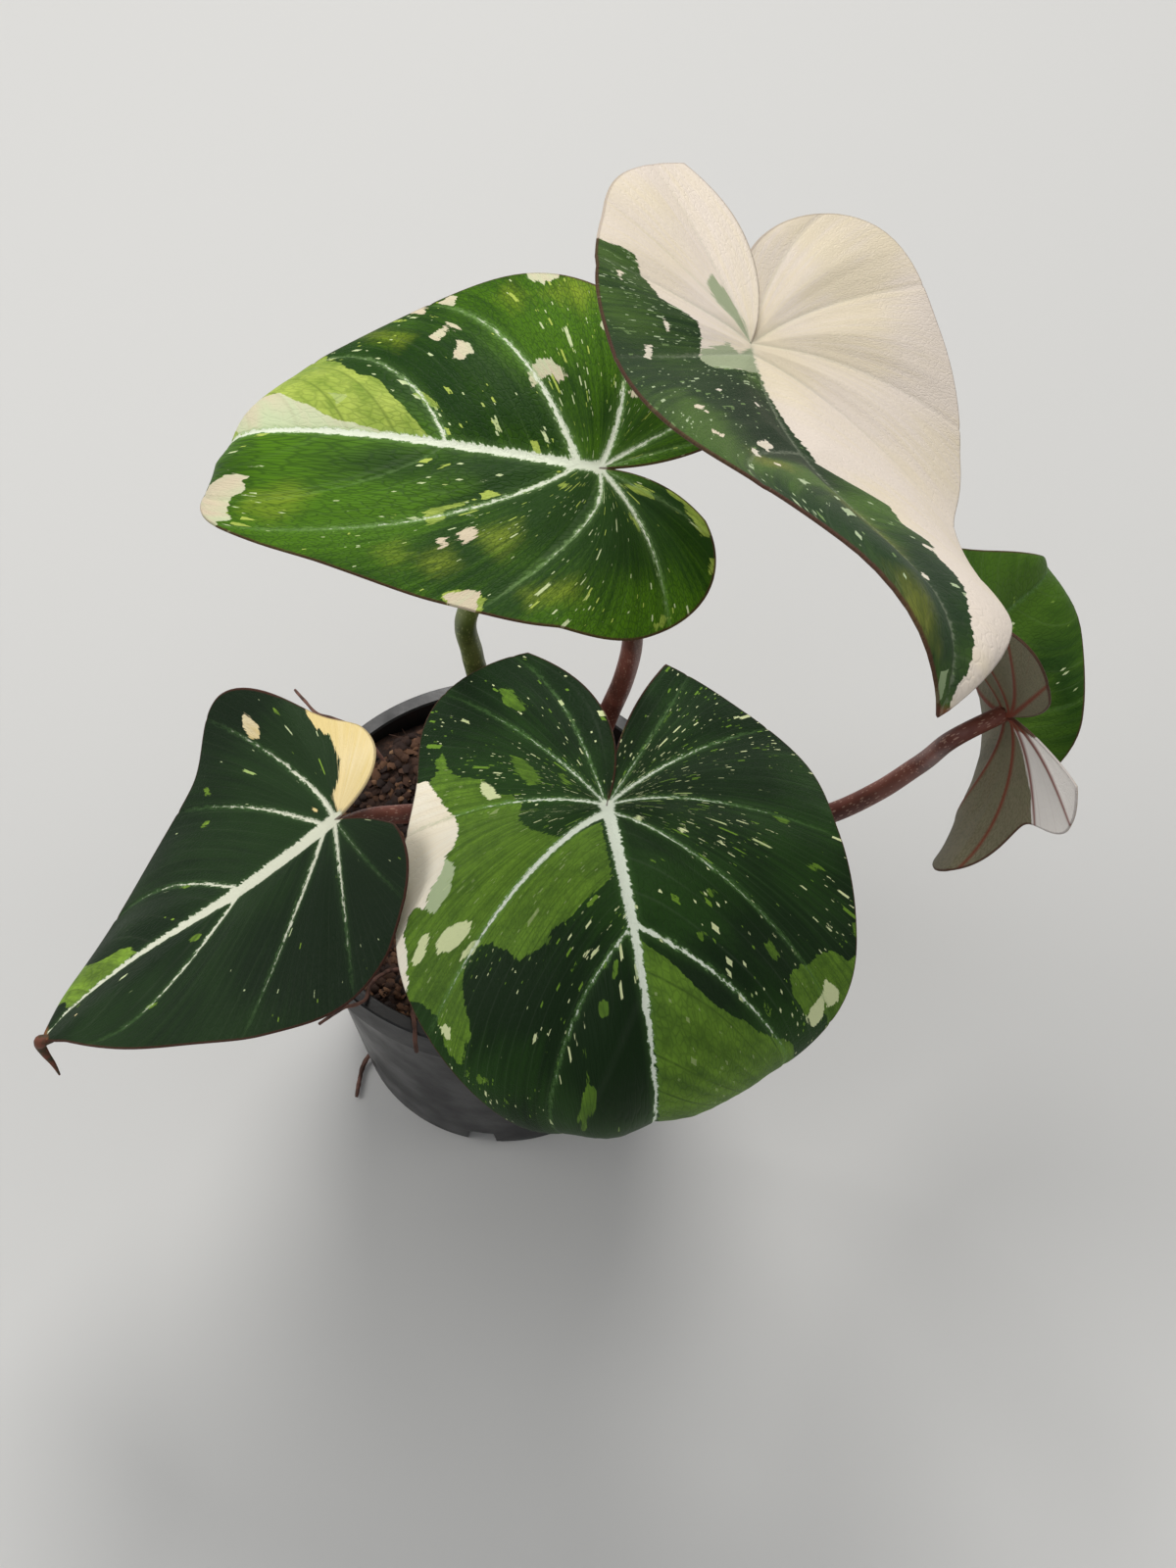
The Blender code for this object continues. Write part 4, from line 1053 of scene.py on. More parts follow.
def vein_fields(leaf, half, x, y, v, veins, fan_rows):
    """At each point: mm past the nearest vein's edge, its paleness, the rib beneath, mm to its line."""
    main = np.stack([x[fan_rows - 1:, 0], y[fan_rows - 1:, 0]], axis=1)
    away, _ = segment_distance(x, y, main)
    onward = np.clip(v, 0, 1)
    edge = away - np.interp(onward, MIDRIB_KNOTS, leaf.widths)
    ink = leaf.pale * (1 - MIDRIB_FADE * onward)
    rib = MIDRIB_RIB * (1 - MIDRIB_RIB_FADE * onward) * np.exp(-(away / MIDRIB_RIB_WIDTH)**2)
    nearest = away.copy()
    looks = [look[2:] for look in half.fan] + [look[1:] for look in half.sides]
    for row, (width, brightness) in zip(veins, looks):
        line = np.stack([x[row], y[row]], axis=1)[::VEIN_POINT_STEP]
        away, where = segment_distance(x, y, line)
        gap = away - width * (1 - VEIN_TAPER * where)
        ink = np.where(gap < edge, brightness * (1 - where)**VEIN_FADE_POWER, ink)
        edge = np.minimum(edge, gap)
        nearest = np.minimum(nearest, away)
        raised = VEIN_RIB * (1 - VEIN_RIB_FADE * where) * np.exp(-(away / VEIN_RIB_WIDTH)**2)
        rib = np.maximum(rib, raised)
    knot = np.hypot(x, y) - JOINT_KNOT * min(leaf.widths[0], KNOT_WIDEST)
    ink = np.where(knot < edge, leaf.pale, ink)
    return np.minimum(edge, knot), ink, rib, nearest


def number_points(shape, fan_rows, seam, start):
    """Each grid point's place in the list of points, and which of the points are new to it.

    The rows that fan out all start at the joint, point 0, and the halves share the midrib and the tip.
    """
    index, new = np.zeros(shape, int), np.ones(shape, bool)
    new[:, 0] = False
    new[-1] = False
    if seam is None:
        new[fan_rows:, 0] = True
    index[new] = start + np.arange(new.sum())
    if seam is None:
        seam = index[fan_rows:, 0].copy()
    index[fan_rows:, 0] = seam
    index[-1] = seam[-1]
    return index, new, seam


def blade_grid(number, leaf):
    """Flat points of the blade with their places in the two halves' grids, and the vein distances."""
    t = 1 - (1 - np.linspace(0.0, 1.0, STATIONS))**STATION_POWER
    flat, ribs, lifts, grids = [(0.0, 0.0)], [MIDRIB_RIB * JOINT_RIB], [0.0], []
    vein, pale = [-leaf.widths[0]], [leaf.pale]
    seam = None
    knots, sways = SWAY.get(number, ((0, 1), (0, 0)))
    for side, half in ((1, leaf.right), (-1, leaf.left)):
        rows, veins, fan_rows = half_lines(leaf, half)
        share = rows[:, :1] + (rows[:, 1:] - rows[:, :1]) * t
        u, v = vein_points(leaf, half, share, t)
        u = side * u + np.interp(v, knots, sways) * np.exp(-(u / SWAY_WIDTH)**2) * (v > 0)
        x, y = u * leaf.length, v * leaf.length
        edge, ink, rib, nearest = vein_fields(leaf, half, x, y, v, veins, fan_rows)
        puff = (1 - np.exp(-(nearest / QUILT_WIDTH)**2)) * (1 - t**QUILT_EDGE)
        steps = np.hypot(np.diff(x, axis=1), np.diff(y, axis=1))
        travel = np.concatenate([np.zeros((len(rows), 1)), np.cumsum(steps, axis=1)], axis=1)
        lines = np.broadcast_to(rows[:, 1:] * MARGIN_LENGTH * leaf.length, share.shape)
        wander = FOLD_WANDER[0] * np.sin(travel * FOLD_WANDER[1] + side)
        fold = np.sin(lines * FOLD_TURN + wander + number) * puff
        swell = 0.6 + 0.4 * np.sin(lines * FOLD_SWELL[0] + travel * FOLD_SWELL[1])
        fold = fold * np.clip(travel / FOLD_FADE, 0, 1) * swell
        lap = LOBE_LAP.get(number, 0.0) * side * np.exp(-(u / LAP_WIDTH)**2)
        lap = lap * np.clip(-v / LAP_START, 0, 1)
        lift = BLADE_QUILT[number] * puff + FOLD_HEIGHT[number] * fold + lap
        index, new, seam = number_points(share.shape, fan_rows, seam, len(flat))
        flat += list(zip(u[new], v[new]))
        ribs, lifts = np.concatenate([ribs, rib[new]]), np.concatenate([lifts, lift[new]])
        vein, pale = np.concatenate([vein, edge[new]]), np.concatenate([pale, ink[new]])
        grids.append((side, index, np.stack([lines + HALF_SHIFT * (side < 0), travel], axis=2)))
    return np.array(flat), ribs, lifts, vein, pale, grids


def grid_faces(index, flow, turned):
    """A half's faces, with the flow coordinates of their corners; corners that meet are one corner."""
    faces, flows = [], []
    rows, columns = index.shape
    for k in range(rows - 1):
        for i in range(columns - 1):
            ring = ((k, i), (k + 1, i), (k + 1, i + 1), (k, i + 1))
            corners = {}
            for cell in ring[::-1] if turned else ring:
                corners.setdefault(index[cell], flow[cell])
            if len(corners) > 2:
                faces.append(list(corners))
                flows.append(list(corners.values()))
    return faces, flows


def build_blade(number, leaf):
    """The upper and lower faces, joined by a rounded margin, with the tissues and the painted shade as
    attributes.
    """
    flat, ribs, lifts, vein, pale, grids = blade_grid(number, leaf)
    count = len(flat)
    u, v = flat[:, 0], flat[:, 1]
    x, y = u * leaf.length, v * leaf.length
    middle, normal = bend(leaf, u, v), blade_normal(leaf, u, v)
    middle = middle + normal * lifts[:, None]
    groove = VEIN_GROOVE * np.exp(-(np.clip(vein + GROOVE_SHOULDER, 0, None) / GROOVE_WIDTH)**2)
    upper = middle + normal * (BLADE_THICKNESS / 2 - groove)[:, None]
    under = middle - normal * (BLADE_THICKNESS / 2 + ribs)[:, None]
    faces, flows, edge = [], [], np.full(count, FAR)
    loop, loop_flow = [], []
    for side, index, flow in grids:
        half_faces, half_flows = grid_faces(index, flow, side > 0)
        faces += half_faces
        flows += half_flows
        rows, columns = index.shape
        outer = [(0, i) for i in range(columns)] + [(k, columns - 1) for k in range(1, rows)]
        if side < 0:
            outer = outer[::-1]
        loop += [index[cell] for cell in outer[:-1]]
        loop_flow += [flow[cell] for cell in outer[:-1]]
        own, border = np.unique(index), [index[cell] for cell in outer]
        away, _ = segment_distance(x[own], y[own], np.stack([x[border], y[border]], axis=1))
        edge[own] = np.minimum(edge[own], away)
    under_faces = [[i + count for i in face[::-1]] for face in faces]
    under_flows = [spots[::-1] for spots in flows]
    loop, loop_flow = np.array(loop), np.array(loop_flow)
    size = len(loop)
    tangent = middle[np.roll(loop, -1)] - middle[np.roll(loop, 1)]
    outward = np.cross(tangent, normal[loop])
    outward /= np.maximum(np.linalg.norm(outward, axis=1, keepdims=True), 1e-9)
    rim = middle[loop] - normal[loop] * (ribs[loop] / 2)[:, None] + outward * EDGE_ROUND
    wall, wall_flows = [], []
    for p in range(size):
        q = (p + 1) % size
        top_p, top_q, rim_p, rim_q = loop[p], loop[q], 2 * count + p, 2 * count + q
        wall += [[top_q, top_p, rim_p, rim_q], [rim_q, rim_p, top_p + count, top_q + count]]
        wall_flows += [[loop_flow[q], loop_flow[p], loop_flow[p], loop_flow[q]]] * 2
    mesh = bpy.data.meshes.new("blade_%d" % number)
    points = np.concatenate([upper, under, rim])
    mesh.from_pydata([tuple(p) for p in points * MM], [], faces + under_faces + wall)
    corners = np.array([spot for spots in flows + under_flows + wall_flows for spot in spots])
    mesh.uv_layers.new(name="flow").data.foreach_set("uv", corners.ravel())
    values = {"vein": vein, "pale": pale, "margin": edge}
    for tissue_or_shade in TISSUES_AND_SHADE:
        outlines = [[(a * leaf.length, b * leaf.length) for a, b in outline]
                    for outline in PATCHES[number].get(tissue_or_shade, ())]
        values[tissue_or_shade] = patch_distance(x, y, outlines) if outlines else np.full(count, FAR)
    if "green" not in PATCHES[number]:
        values["green"] = np.full(count, -FAR)
    values = {name: np.clip(value, -FAR, FAR) for name, value in values.items()}
    values = {name: np.concatenate([value, value, value[loop]]) for name, value in values.items()}
    values["underside"] = np.concatenate([np.zeros(count), np.ones(count), np.full(size, RIM_SIDE)])
    for name, value in values.items():
        mesh.attributes.new(name, "FLOAT", "POINT").data.foreach_set("value", value)
    mesh.shade_smooth()
    return add_object("leaf_%d" % number, mesh)


def attribute(tree, name):
    """A value that the mesh stores at its points."""
    return add_node(tree, "ShaderNodeAttribute", attribute_name=name).outputs["Fac"]


TISSUE_COLOURS = ("Ground", "Net And Shade", "Dark", "Mid", "Lime", "Sage", "Cream", "Cream Tint", "Glow",
                  "Fleck", "Vein", "Fringe", "Margin", "Dry", "Under", "Under Vein")
TISSUE_SHARES = ("Dark Share", "Flecks", "Net", "Fine", "Seed")
# Noises that follow the veins: features a mm across and along them, detail and roughness
GRAINS = {"teeth": (0.5, 0.12, 3.0, 0.6), "fray": (2.2, 0.8, 2.0, 0.6), "warp": (0.05, 0.012, 1.0, 0.5),
          "streaks": (0.35, 0.03, 4.0, 0.55), "barbs": (1.5, 0.4, 2.0, 0.6)}
# Noises that don't: features a metre, detail and roughness
CLOUDS = {"zones": (26.0, 2.0, 0.45), "mottle": (150.0, 5.0, 0.65), "drifts": (30.0, 2.0, 0.5),
          "grit": (1200.0, 3.0, 0.75), "nap": (2600.0, 2.0, 0.5)}
# The two ends of each mask, and the values it takes there if they aren't 0 and 1.  A sector's and a
# vein's are mm outside its edge.
MASKS = {
    "sector": (0.14, -0.14), "painted_shade": (5.0, -6.0, 0.0, 0.8), "glow": (3.5, -4.5, 0.0, 0.75),
    "dry": (0.8, -0.8), "joint": (5.0, 20.0), "fine": (0.075, 0.0), "broken": (0.35, 0.65, 0.25, 1.0),
    "net": (0.0, 0.16), "light": (-0.12, 0.16), "streaked glow": (0.3, 0.6, 0.45, 1.0),
    "tint": (0.42, 0.62), "green streak": (0.34, 0.62, 0.45, 0.0),
    "green mottle": (0.60, 0.36, 0.0, 0.3), "drift": (0.38, 0.6, 0.12, 1.0), "fleck": (0.02, -0.02),
    "speck": (0.045, 0.03), "halo": (2.2, 0.0, 0.0, 0.12), "fringe": (0.6, -0.25, 0.0, 0.8),
    "core": (0.2, -0.25), "inked": (0.0, 0.6), "under vein": (0.75, -0.2, 0.0, 0.88),
    "side": (0.35, 0.65), "margin": (0.42, 0.05, 0.0, 0.8),
}
TEETH_REACH = 3.2              # mm, both ways together, that a sector's ragged edge reaches
RAGGEDNESS = {"painted_shade": 1.5, "glow": 2.0, "dry": 0.5}       # of the sectors where it isn't 1
FINE_VEINS = 0.22              # fine veins a mm
FINE_WARP = 1.2                # how far they wander, in their own spacing
NET_CELLS = (0.9, 0.55)        # a mm, across and along the veins
STREAKED = 0.42                # how far the streaks move the border of dark and mid green
TINT_MIX = (0.7, 0.3)          # zones and streaks in the cream's tint
LIME_WEAR = (0.24, 0.62)       # how far the net and the fine veins darken the lime
CREAM_VEINS = 0.14
LIME_CLEAR = 0.75              # the share of flecks that the lime hides
# Kinds of flecks: cells a mm across and along, the spread of sizes, and the share that is pale
FLECK_KINDS = ((1.1, 0.5, 0.2, 0.85), (0.62, 0.24, 0.22, 0.5), (0.3, 0.1, 0.2, 0.15))
FLECK_SIZE = 0.08              # the smallest, as a share of a cell
TATTER = 0.9                   # how much of its size a fleck's torn edge takes
PALE_EDGE = 0.05
SPECK_CELLS = 95.0             # a metre
SPECK_SHARE = 0.06             # the share of cells that hold one
SPECK_STRENGTH = 0.7
BARB_REACH = 2.2               # mm, both ways together
GRIT_REACH = 1.5
CORE_SHARE = (0.9, 0.75)       # mm that full paleness widens a core by, and that it starts narrower
FRINGE_BARBS = 1.1
FRINGE_POWER = 0.75            # below 1, the fringe outlasts the core
UNDER_MIX = (0.3, 0.3, 0.16)   # mottle, net and fine veins on the underside
MARGIN_FRAY = 0.5
MARGIN_FADE = 0.5              # how far the brown margin fades on the bleached sectors
RELIEF_MIX = (0.5, 0.1, 0.6)   # net, nap and streaks


def tissue_group():
    """What the leaves' patterns share: green and bleached tissue, painted shade, flecks, veins, margin,
    underside.
    """
    group, look, result = open_group(
        "leaf_tissue", "ShaderNodeTree",
        {**dict.fromkeys(TISSUE_COLOURS, "Color"), **dict.fromkeys(TISSUE_SHARES, "Float")},
        {"Color": "Color", "Height": "Float"})
    seed = add_node(group, "ShaderNodeCombineXYZ", [(0, look["Seed"]), (1, look["Seed"])]).outputs[0]
    flow = add_node(group, "ShaderNodeUVMap", uv_map="flow").outputs[0]
    flow = add_node(group, "ShaderNodeVectorMath", [(0, flow), (1, seed)]).outputs[0]
    place = object_place(group)
    calc, blend, stored = (partial(make, group) for make in (maths, mix_colour, attribute))

    def stretched(across, along):
        """The flow coordinates scaled to so many features a mm across and along the veins."""
        return add_node(group, "ShaderNodeVectorMath", [(0, flow), (1, (across, along, 0.0))],
                        operation="MULTIPLY").outputs[0]

    def grain(name):
        across, along, detail, roughness = GRAINS[name]
        return noise(group, stretched(across, along), 1.0, detail, roughness)

    def cloud(name):
        return noise(group, place, *CLOUDS[name])

    def mask(name, value):
        return ramp(group, value, *MASKS[name])

    def tissue_or_shade(name):
        """A sector's mask, from the stored distance and the ragged edge."""
        edge = calc("MULTIPLY_ADD", ragged, RAGGEDNESS.get(name, 1.0), stored(name))
        return mask(name if name in MASKS else "sector", edge)

    # ragged edges: teeth that run along the veins, with a finer fray on them
    teeth = calc("SUBTRACT", grain("teeth"), 0.5)
    fray = calc("SUBTRACT", grain("fray"), 0.5)
    ragged = calc("MULTIPLY_ADD", teeth, TEETH_REACH, fray)

    # lines for the fine veins, which run with the main ones, and the net between them
    across_veins, along_veins, _ = add_node(group, "ShaderNodeSeparateXYZ", [(0, flow)]).outputs
    away = mask("joint", along_veins)
    warp = calc("MULTIPLY", grain("warp"), FINE_WARP)
    fine = calc("FRACT", calc("MULTIPLY_ADD", across_veins, FINE_VEINS, warp))
    fine = calc("ABSOLUTE", calc("SUBTRACT", fine, 0.5))
    streaks = grain("streaks")
    fine = calc("MULTIPLY", mask("fine", fine), away)
    fine = calc("MULTIPLY", fine, mask("broken", streaks))
    net = add_node(group, "ShaderNodeTexVoronoi", [("Vector", stretched(*NET_CELLS)), ("Scale", 1.0)],
                   feature="DISTANCE_TO_EDGE").outputs["Distance"]
    net = mask("net", net)
    meshed = calc("MULTIPLY", calc("SUBTRACT", 1.0, net), away)

    # green tissue: slow zones of dark and mid green, streaked along the veins, with patches of painted
    # shade near the midrib
    zones = cloud("zones")
    zoned = calc("ADD", zones, calc("MULTIPLY", calc("SUBTRACT", streaks, 0.5), STREAKED))
    light = mask("light", calc("SUBTRACT", zoned, look["Dark Share"]))
    colour = blend(light, look["Dark"], look["Mid"])
    # painted shade: the darker patches near the midrib take the deepest green
    colour = blend(tissue_or_shade("painted_shade"), colour, look["Net And Shade"])
    glow = calc("MULTIPLY", tissue_or_shade("glow"), mask("streaked glow", streaks))
    colour = blend(glow, colour, look["Glow"])
    colour = blend(calc("MULTIPLY", meshed, look["Net"]), colour, look["Net And Shade"])
    colour = blend(calc("MULTIPLY", fine, look["Fine"]), colour, look["Vein"])
    green = tissue_or_shade("green")
    tint = calc("MULTIPLY_ADD", zones, TINT_MIX[0], calc("MULTIPLY", streaks, TINT_MIX[1]))
    tint = mask("tint", tint)
    colour = blend(green, blend(tint, look["Ground"], look["Cream Tint"]), colour)

    # bleached sectors: the lime ones keep some green along the fine veins and in their net
    mottle = cloud("mottle")
    lime = blend(mask("green streak", streaks), look["Lime"], look["Mid"])
    lime = blend(mask("green mottle", mottle), lime, look["Mid"])
    worn = calc("MAXIMUM", calc("MULTIPLY", meshed, LIME_WEAR[0]), calc("MULTIPLY", fine, LIME_WEAR[1]))
    lime = blend(worn, lime, look["Dark"])
    lime_mask = tissue_or_shade("lime")
    colour = blend(lime_mask, colour, lime)
    colour = blend(tissue_or_shade("sage"), colour, look["Sage"])
    cream = blend(tint, look["Cream"], look["Cream Tint"])
    cream = blend(calc("MULTIPLY", fine, CREAM_VEINS), cream, look["Dry"])
    cream_mask = tissue_or_shade("cream")
    colour = blend(cream_mask, colour, cream)
    colour = blend(tissue_or_shade("spot"), colour, look["Fleck"])
    dotted = calc("MULTIPLY", calc("MULTIPLY_ADD", lime_mask, -LIME_CLEAR, 1.0),
                  calc("SUBTRACT", green, calc("MULTIPLY", green, cream_mask)))

    # flecks: pale torn scraps, longer along the veins, in drifts, and a few brown specks
    drifts = mask("drift", cloud("drifts"))
    for across, along, sizes, pale_share in FLECK_KINDS:
        cells = add_node(group, "ShaderNodeTexVoronoi", [
            ("Vector", stretched(across, along)), ("Scale", 1.0), ("Randomness", 1.0)],
            distance="CHEBYCHEV")
        drawn = add_node(group, "ShaderNodeSeparateColor", [(0, cells.outputs["Color"])])
        kept = calc("LESS_THAN", drawn.outputs[0], calc("MULTIPLY", drifts, look["Flecks"]))
        reach = calc("MULTIPLY_ADD", drawn.outputs[1], sizes, FLECK_SIZE)
        torn = calc("MULTIPLY_ADD", fray, TATTER * (FLECK_SIZE + sizes), cells.outputs["Distance"])
        spot = mask("fleck", calc("SUBTRACT", torn, reach))
        spot = calc("MULTIPLY", calc("MULTIPLY", spot, kept), dotted)
        pale = ramp(group, drawn.outputs[2], pale_share + PALE_EDGE, pale_share - PALE_EDGE)
        colour = blend(spot, colour, blend(pale, look["Lime"], look["Fleck"]))
    specks = add_node(group, "ShaderNodeTexVoronoi", [("Vector", place), ("Scale", SPECK_CELLS)])
    drawn = add_node(group, "ShaderNodeSeparateColor", [(0, specks.outputs["Color"])])
    speck = mask("speck", specks.outputs["Distance"])
    speck = calc("MULTIPLY", speck, calc("LESS_THAN", drawn.outputs[1], SPECK_SHARE))
    colour = blend(calc("MULTIPLY", speck, SPECK_STRENGTH), colour, look["Margin"])
    colour = blend(tissue_or_shade("dry"), colour, look["Dry"])

    # veins: a pale core with barbs along its sides, in a wider green fringe that outlasts it
    grit = calc("MULTIPLY", calc("SUBTRACT", cloud("grit"), 0.5), GRIT_REACH)
    barbs = calc("SUBTRACT", grain("barbs"), 0.5)
    rough = calc("MULTIPLY_ADD", barbs, BARB_REACH, grit)
    ink, gap = stored("pale"), stored("vein")
    halo = calc("MULTIPLY", mask("halo", gap), ink)
    upper = blend(halo, colour, look["Fringe"])
    fringe = mask("fringe", calc("MULTIPLY_ADD", rough, FRINGE_BARBS, gap))
    fringe = calc("MULTIPLY", fringe, calc("POWER", ink, FRINGE_POWER))
    upper = blend(fringe, upper, look["Fringe"])
    wider, narrower = CORE_SHARE
    core = calc("ADD", calc("ADD", gap, rough), calc("MULTIPLY_ADD", ink, -wider, narrower))
    core = calc("MULTIPLY", mask("core", core), mask("inked", ink))
    upper = blend(core, upper, look["Vein"])

    # underside: paler, with reddish veins; bleached sectors show through
    bleached = calc("MAXIMUM", cream_mask, calc("SUBTRACT", 1.0, green))
    under = blend(calc("MULTIPLY", mottle, UNDER_MIX[0]), look["Under"], look["Sage"])
    under = blend(calc("MULTIPLY", meshed, UNDER_MIX[1]), under, look["Net And Shade"])
    under = blend(bleached, under, look["Cream"])
    under = blend(calc("MULTIPLY", fine, UNDER_MIX[2]), under, look["Under Vein"])
    under = blend(mask("under vein", gap), under, look["Under Vein"])
    colour = blend(mask("side", stored("underside")), upper, under)

    # margin: a thin brown line, weaker on the bleached sectors
    rim = mask("margin", calc("MULTIPLY_ADD", fray, MARGIN_FRAY, stored("margin")))
    rim = calc("MULTIPLY", rim, calc("MULTIPLY_ADD", bleached, -MARGIN_FADE, 1.0))
    colour = blend(rim, colour, look["Margin"])
    group.links.new(colour, result["Color"])

    # relief: net veins, streaks and the nap of the velvet
    height = calc("MULTIPLY_ADD", net, RELIEF_MIX[0], calc("MULTIPLY", cloud("nap"), RELIEF_MIX[1]))
    height = calc("MULTIPLY_ADD", streaks, RELIEF_MIX[2], height)
    group.links.new(height, result["Height"])
    return group


# Colours of each leaf's tissues, as sRGB values, and its shares: the dark green's cut, and how much
# there is of flecks, dark net and fine veins.  The deepest green is both the dark net's colour and the
# painted shade's.
SHARED_LOOK = {
    "Lime": (116, 146, 58), "Sage": (150, 165, 122), "Cream": (240, 230, 208),
    "Cream Tint": (238, 218, 170), "Glow": (140, 150, 48), "Fleck": (212, 224, 172),
    "Vein": (222, 228, 206), "Fringe": (112, 156, 92), "Margin": (80, 44, 36), "Dry": (130, 84, 54),
    "Under": (98, 99, 74), "Under Vein": (126, 54, 38),
}
LEAF_LOOKS = {
    1: {"Net And Shade": (22, 54, 8), "Dark": (34, 68, 6), "Mid": (78, 122, 12), "Lime": (180, 198, 88),
        "Glow": (148, 168, 46), "Vein": (232, 238, 216), "Fringe": (150, 186, 116),
        "Cream": (222, 206, 178), "Cream Tint": (206, 217, 175), "shares": (0.47, 0.15, 0.5, 0.02)},
    2: {"Net And Shade": (34, 52, 32), "Dark": (40, 64, 32), "Mid": (78, 108, 44), "Ground": (238, 225, 211),
        "Sage": (166, 176, 142), "Cream": (240, 230, 212), "Cream Tint": (238, 224, 197),
        "Glow": (134, 138, 56), "Vein": (226, 220, 206), "Fringe": (190, 196, 172),
        "Fleck": (182, 198, 158), "Lime": (112, 138, 84), "shares": (0.50, 0.28, 0.2, 0.02)},
    3: {"Net And Shade": (20, 36, 19), "Dark": (24, 42, 21), "Mid": (34, 57, 26), "Lime": (138, 174, 58),
        "Cream": (250, 232, 188), "Cream Tint": (240, 216, 150), "Vein": (224, 226, 204),
        "Fringe": (88, 124, 70), "shares": (0.52, 0.015, 0.12, 0.016)},
    4: {"Net And Shade": (17, 36, 11), "Dark": (20, 43, 14), "Mid": (37, 68, 22), "Lime": (110, 148, 46),
        "Cream": (254, 246, 226), "Cream Tint": (250, 238, 212), "Sage": (184, 200, 156),
        "Fleck": (224, 232, 176), "Vein": (236, 244, 226), "Fringe": (108, 152, 82),
        "shares": (0.52, 0.22, 0.16, 0.02)},
    5: {"Net And Shade": (26, 50, 12), "Dark": (38, 72, 12), "Mid": (72, 108, 24), "Glow": (84, 120, 30),
        "Cream": (240, 234, 228), "Under": (126, 114, 94), "shares": (0.48, 0.04, 0.16, 0.02)},
}
SKIN_ROUGHNESS = 0.55
SKIN_FINISH = {"Sheen_Weight": 0.02, "Sheen_Roughness": 0.4, "Specular_IOR_Level": 0.14}
SKIN_RELIEF = (0.35, 0.0005)
SEED_STEP = 37.0               # mm that sets each leaf's pattern apart from the last one's
LEAF_SLOTS = {1: "blade_green", 2: "blade_cream", 3: "blade_dark", 4: "blade_dark", 5: "blade_pale"}
leaf_tissue = tissue_group()
for number, leaf in LEAVES.items():
    blade = build_blade(number, leaf)
    skin, tree, shader = new_material("leaf_skin_%d" % number, SKIN_ROUGHNESS, **SKIN_FINISH)
    look = {**SHARED_LOOK, **LEAF_LOOKS[number]}
    look.setdefault("Ground", look["Mid"])
    shares = zip(TISSUE_SHARES, (*look.pop("shares"), SEED_STEP * number))
    colours = [(name, (*srgb(*value), 1.0)) for name, value in look.items()]
    pattern = add_node(tree, "ShaderNodeGroup", [*colours, *shares], node_tree=leaf_tissue)
    tree.links.new(pattern.outputs["Color"], shader.inputs["Base Color"])
    bump(tree, shader, pattern.outputs["Height"], *SKIN_RELIEF)
    blade.data.materials.append(skin)
    register(blade, LEAF_SLOTS[number], "blade_%d" % number)

# The third leaf's drip tip has dried and rolled up; it hangs from the end of the blade.
TIP_HANG = ((3, .6, .6), (0, 0, 0), (-1, .4, -2.4), (0, -.8, -6), (2, -2.6, -9.4), (3.4, -4.4, -12.4))
TIP_RINGS = 40
TIP_SIDES = 12
TIP_RADII = ((0, .2, .5, 1), (1.2, 1.9, 1.3, 0.3))     # shares of the way along, and mm there
TIP_ROUGHNESS = 0.7
TIP_TONES = (srgb(58, 56, 30), srgb(112, 62, 42))
TIP_GRAIN, TIP_SPREAD = (420.0, 4.0, 0.5), (0.35, 0.6)
TIP_RELIEF = (0.5, 0.0004)
tip_place = bend(LEAVES[3], np.array([0.0]), np.array([1.0]))[0]
dried_tip = tube("leaf_3_dried_tip", smooth_path(np.array(TIP_HANG) + tip_place, TIP_RINGS),
                 np.interp(np.linspace(0, 1, TIP_RINGS), *TIP_RADII), TIP_SIDES)
dry_skin, tree, shader, curls = mottled_material(
    "dried_leaf", TIP_ROUGHNESS, TIP_TONES, TIP_GRAIN, TIP_SPREAD)
bump(tree, shader, curls, *TIP_RELIEF)
dried_tip.data.materials.append(dry_skin)
register(dried_tip, "blade_dark", "blade_3")

# ---- Leaf stalks ----
# Round fleshy stalks from the rhizome to the blades, red-brown or olive and finely speckled, a little
# thicker at the foot.
STALK_RADIUS = 2.75
STALK_BASE = 1.22              # shares of the radius at the foot and at the blade
STALK_TOP = 0.86
STALK_RINGS = 150
STALK_SIDES = 22
STALK_SEAT = 0.03              # how far past the joint it meets the blade, as a share of the length
STALK_SEAT_GAP = 0.25
STALK_STRAIGHT = (9.0, 4.5)    # mm below its end, points that bring it in square to the blade
STALK_DOME = 0.02
STALK_SIDE_ON = {3: 2.05}      # a stalk that comes in through the notch ends this much lower
STALK_ROUTES = {
    1: ((16, 0, 86), (20, 14, 94), (30, 36, 110), (36, 29, 150), (38, 20, 182), (37, 8, 212),
        (34, 3, 240)),
    2: ((-8, 11, 86), (-8, 22, 98), (-5, 40, 128), (-6, 36, 152), (-6, 28, 186), (4, 28, 213),
        (18, 30, 236), (34, 34, 249), (50, 37, 258), (62, 34, 274), (65, 26, 294)),
    3: ((-1, 7, 86), (-4, 6, 104), (-10, -1, 128), (-18, -9, 142), (-26, -14, 150), (-33, -18, 155.5)),
    4: ((8, 3, 86), (12, -2, 104), (22, -10, 138), (29, -22, 165)),
    5: ((24, -4, 86), (38, 0, 99), (60, 4, 110), (94, 2, 122), (107, 2, 135), (116, 1, 150)),
}
STALK_RED = (srgb(98, 50, 40), srgb(134, 78, 64), srgb(190, 150, 130))     # ground, flush, speckle
STALK_OLIVE = (srgb(70, 84, 32), srgb(104, 116, 54), srgb(160, 168, 104))
OLIVE_STALKS = (2,)
STALK_ROUGHNESS = 0.5
FLUSH_GRAIN, FLUSH_SPREAD = (60.0, 4.0), (0.35, 0.65)
SPECKLE_CELLS = 1.5            # a mm
SPECKLE_SQUEEZE = 0.38         # a speckle's width as a share of its length
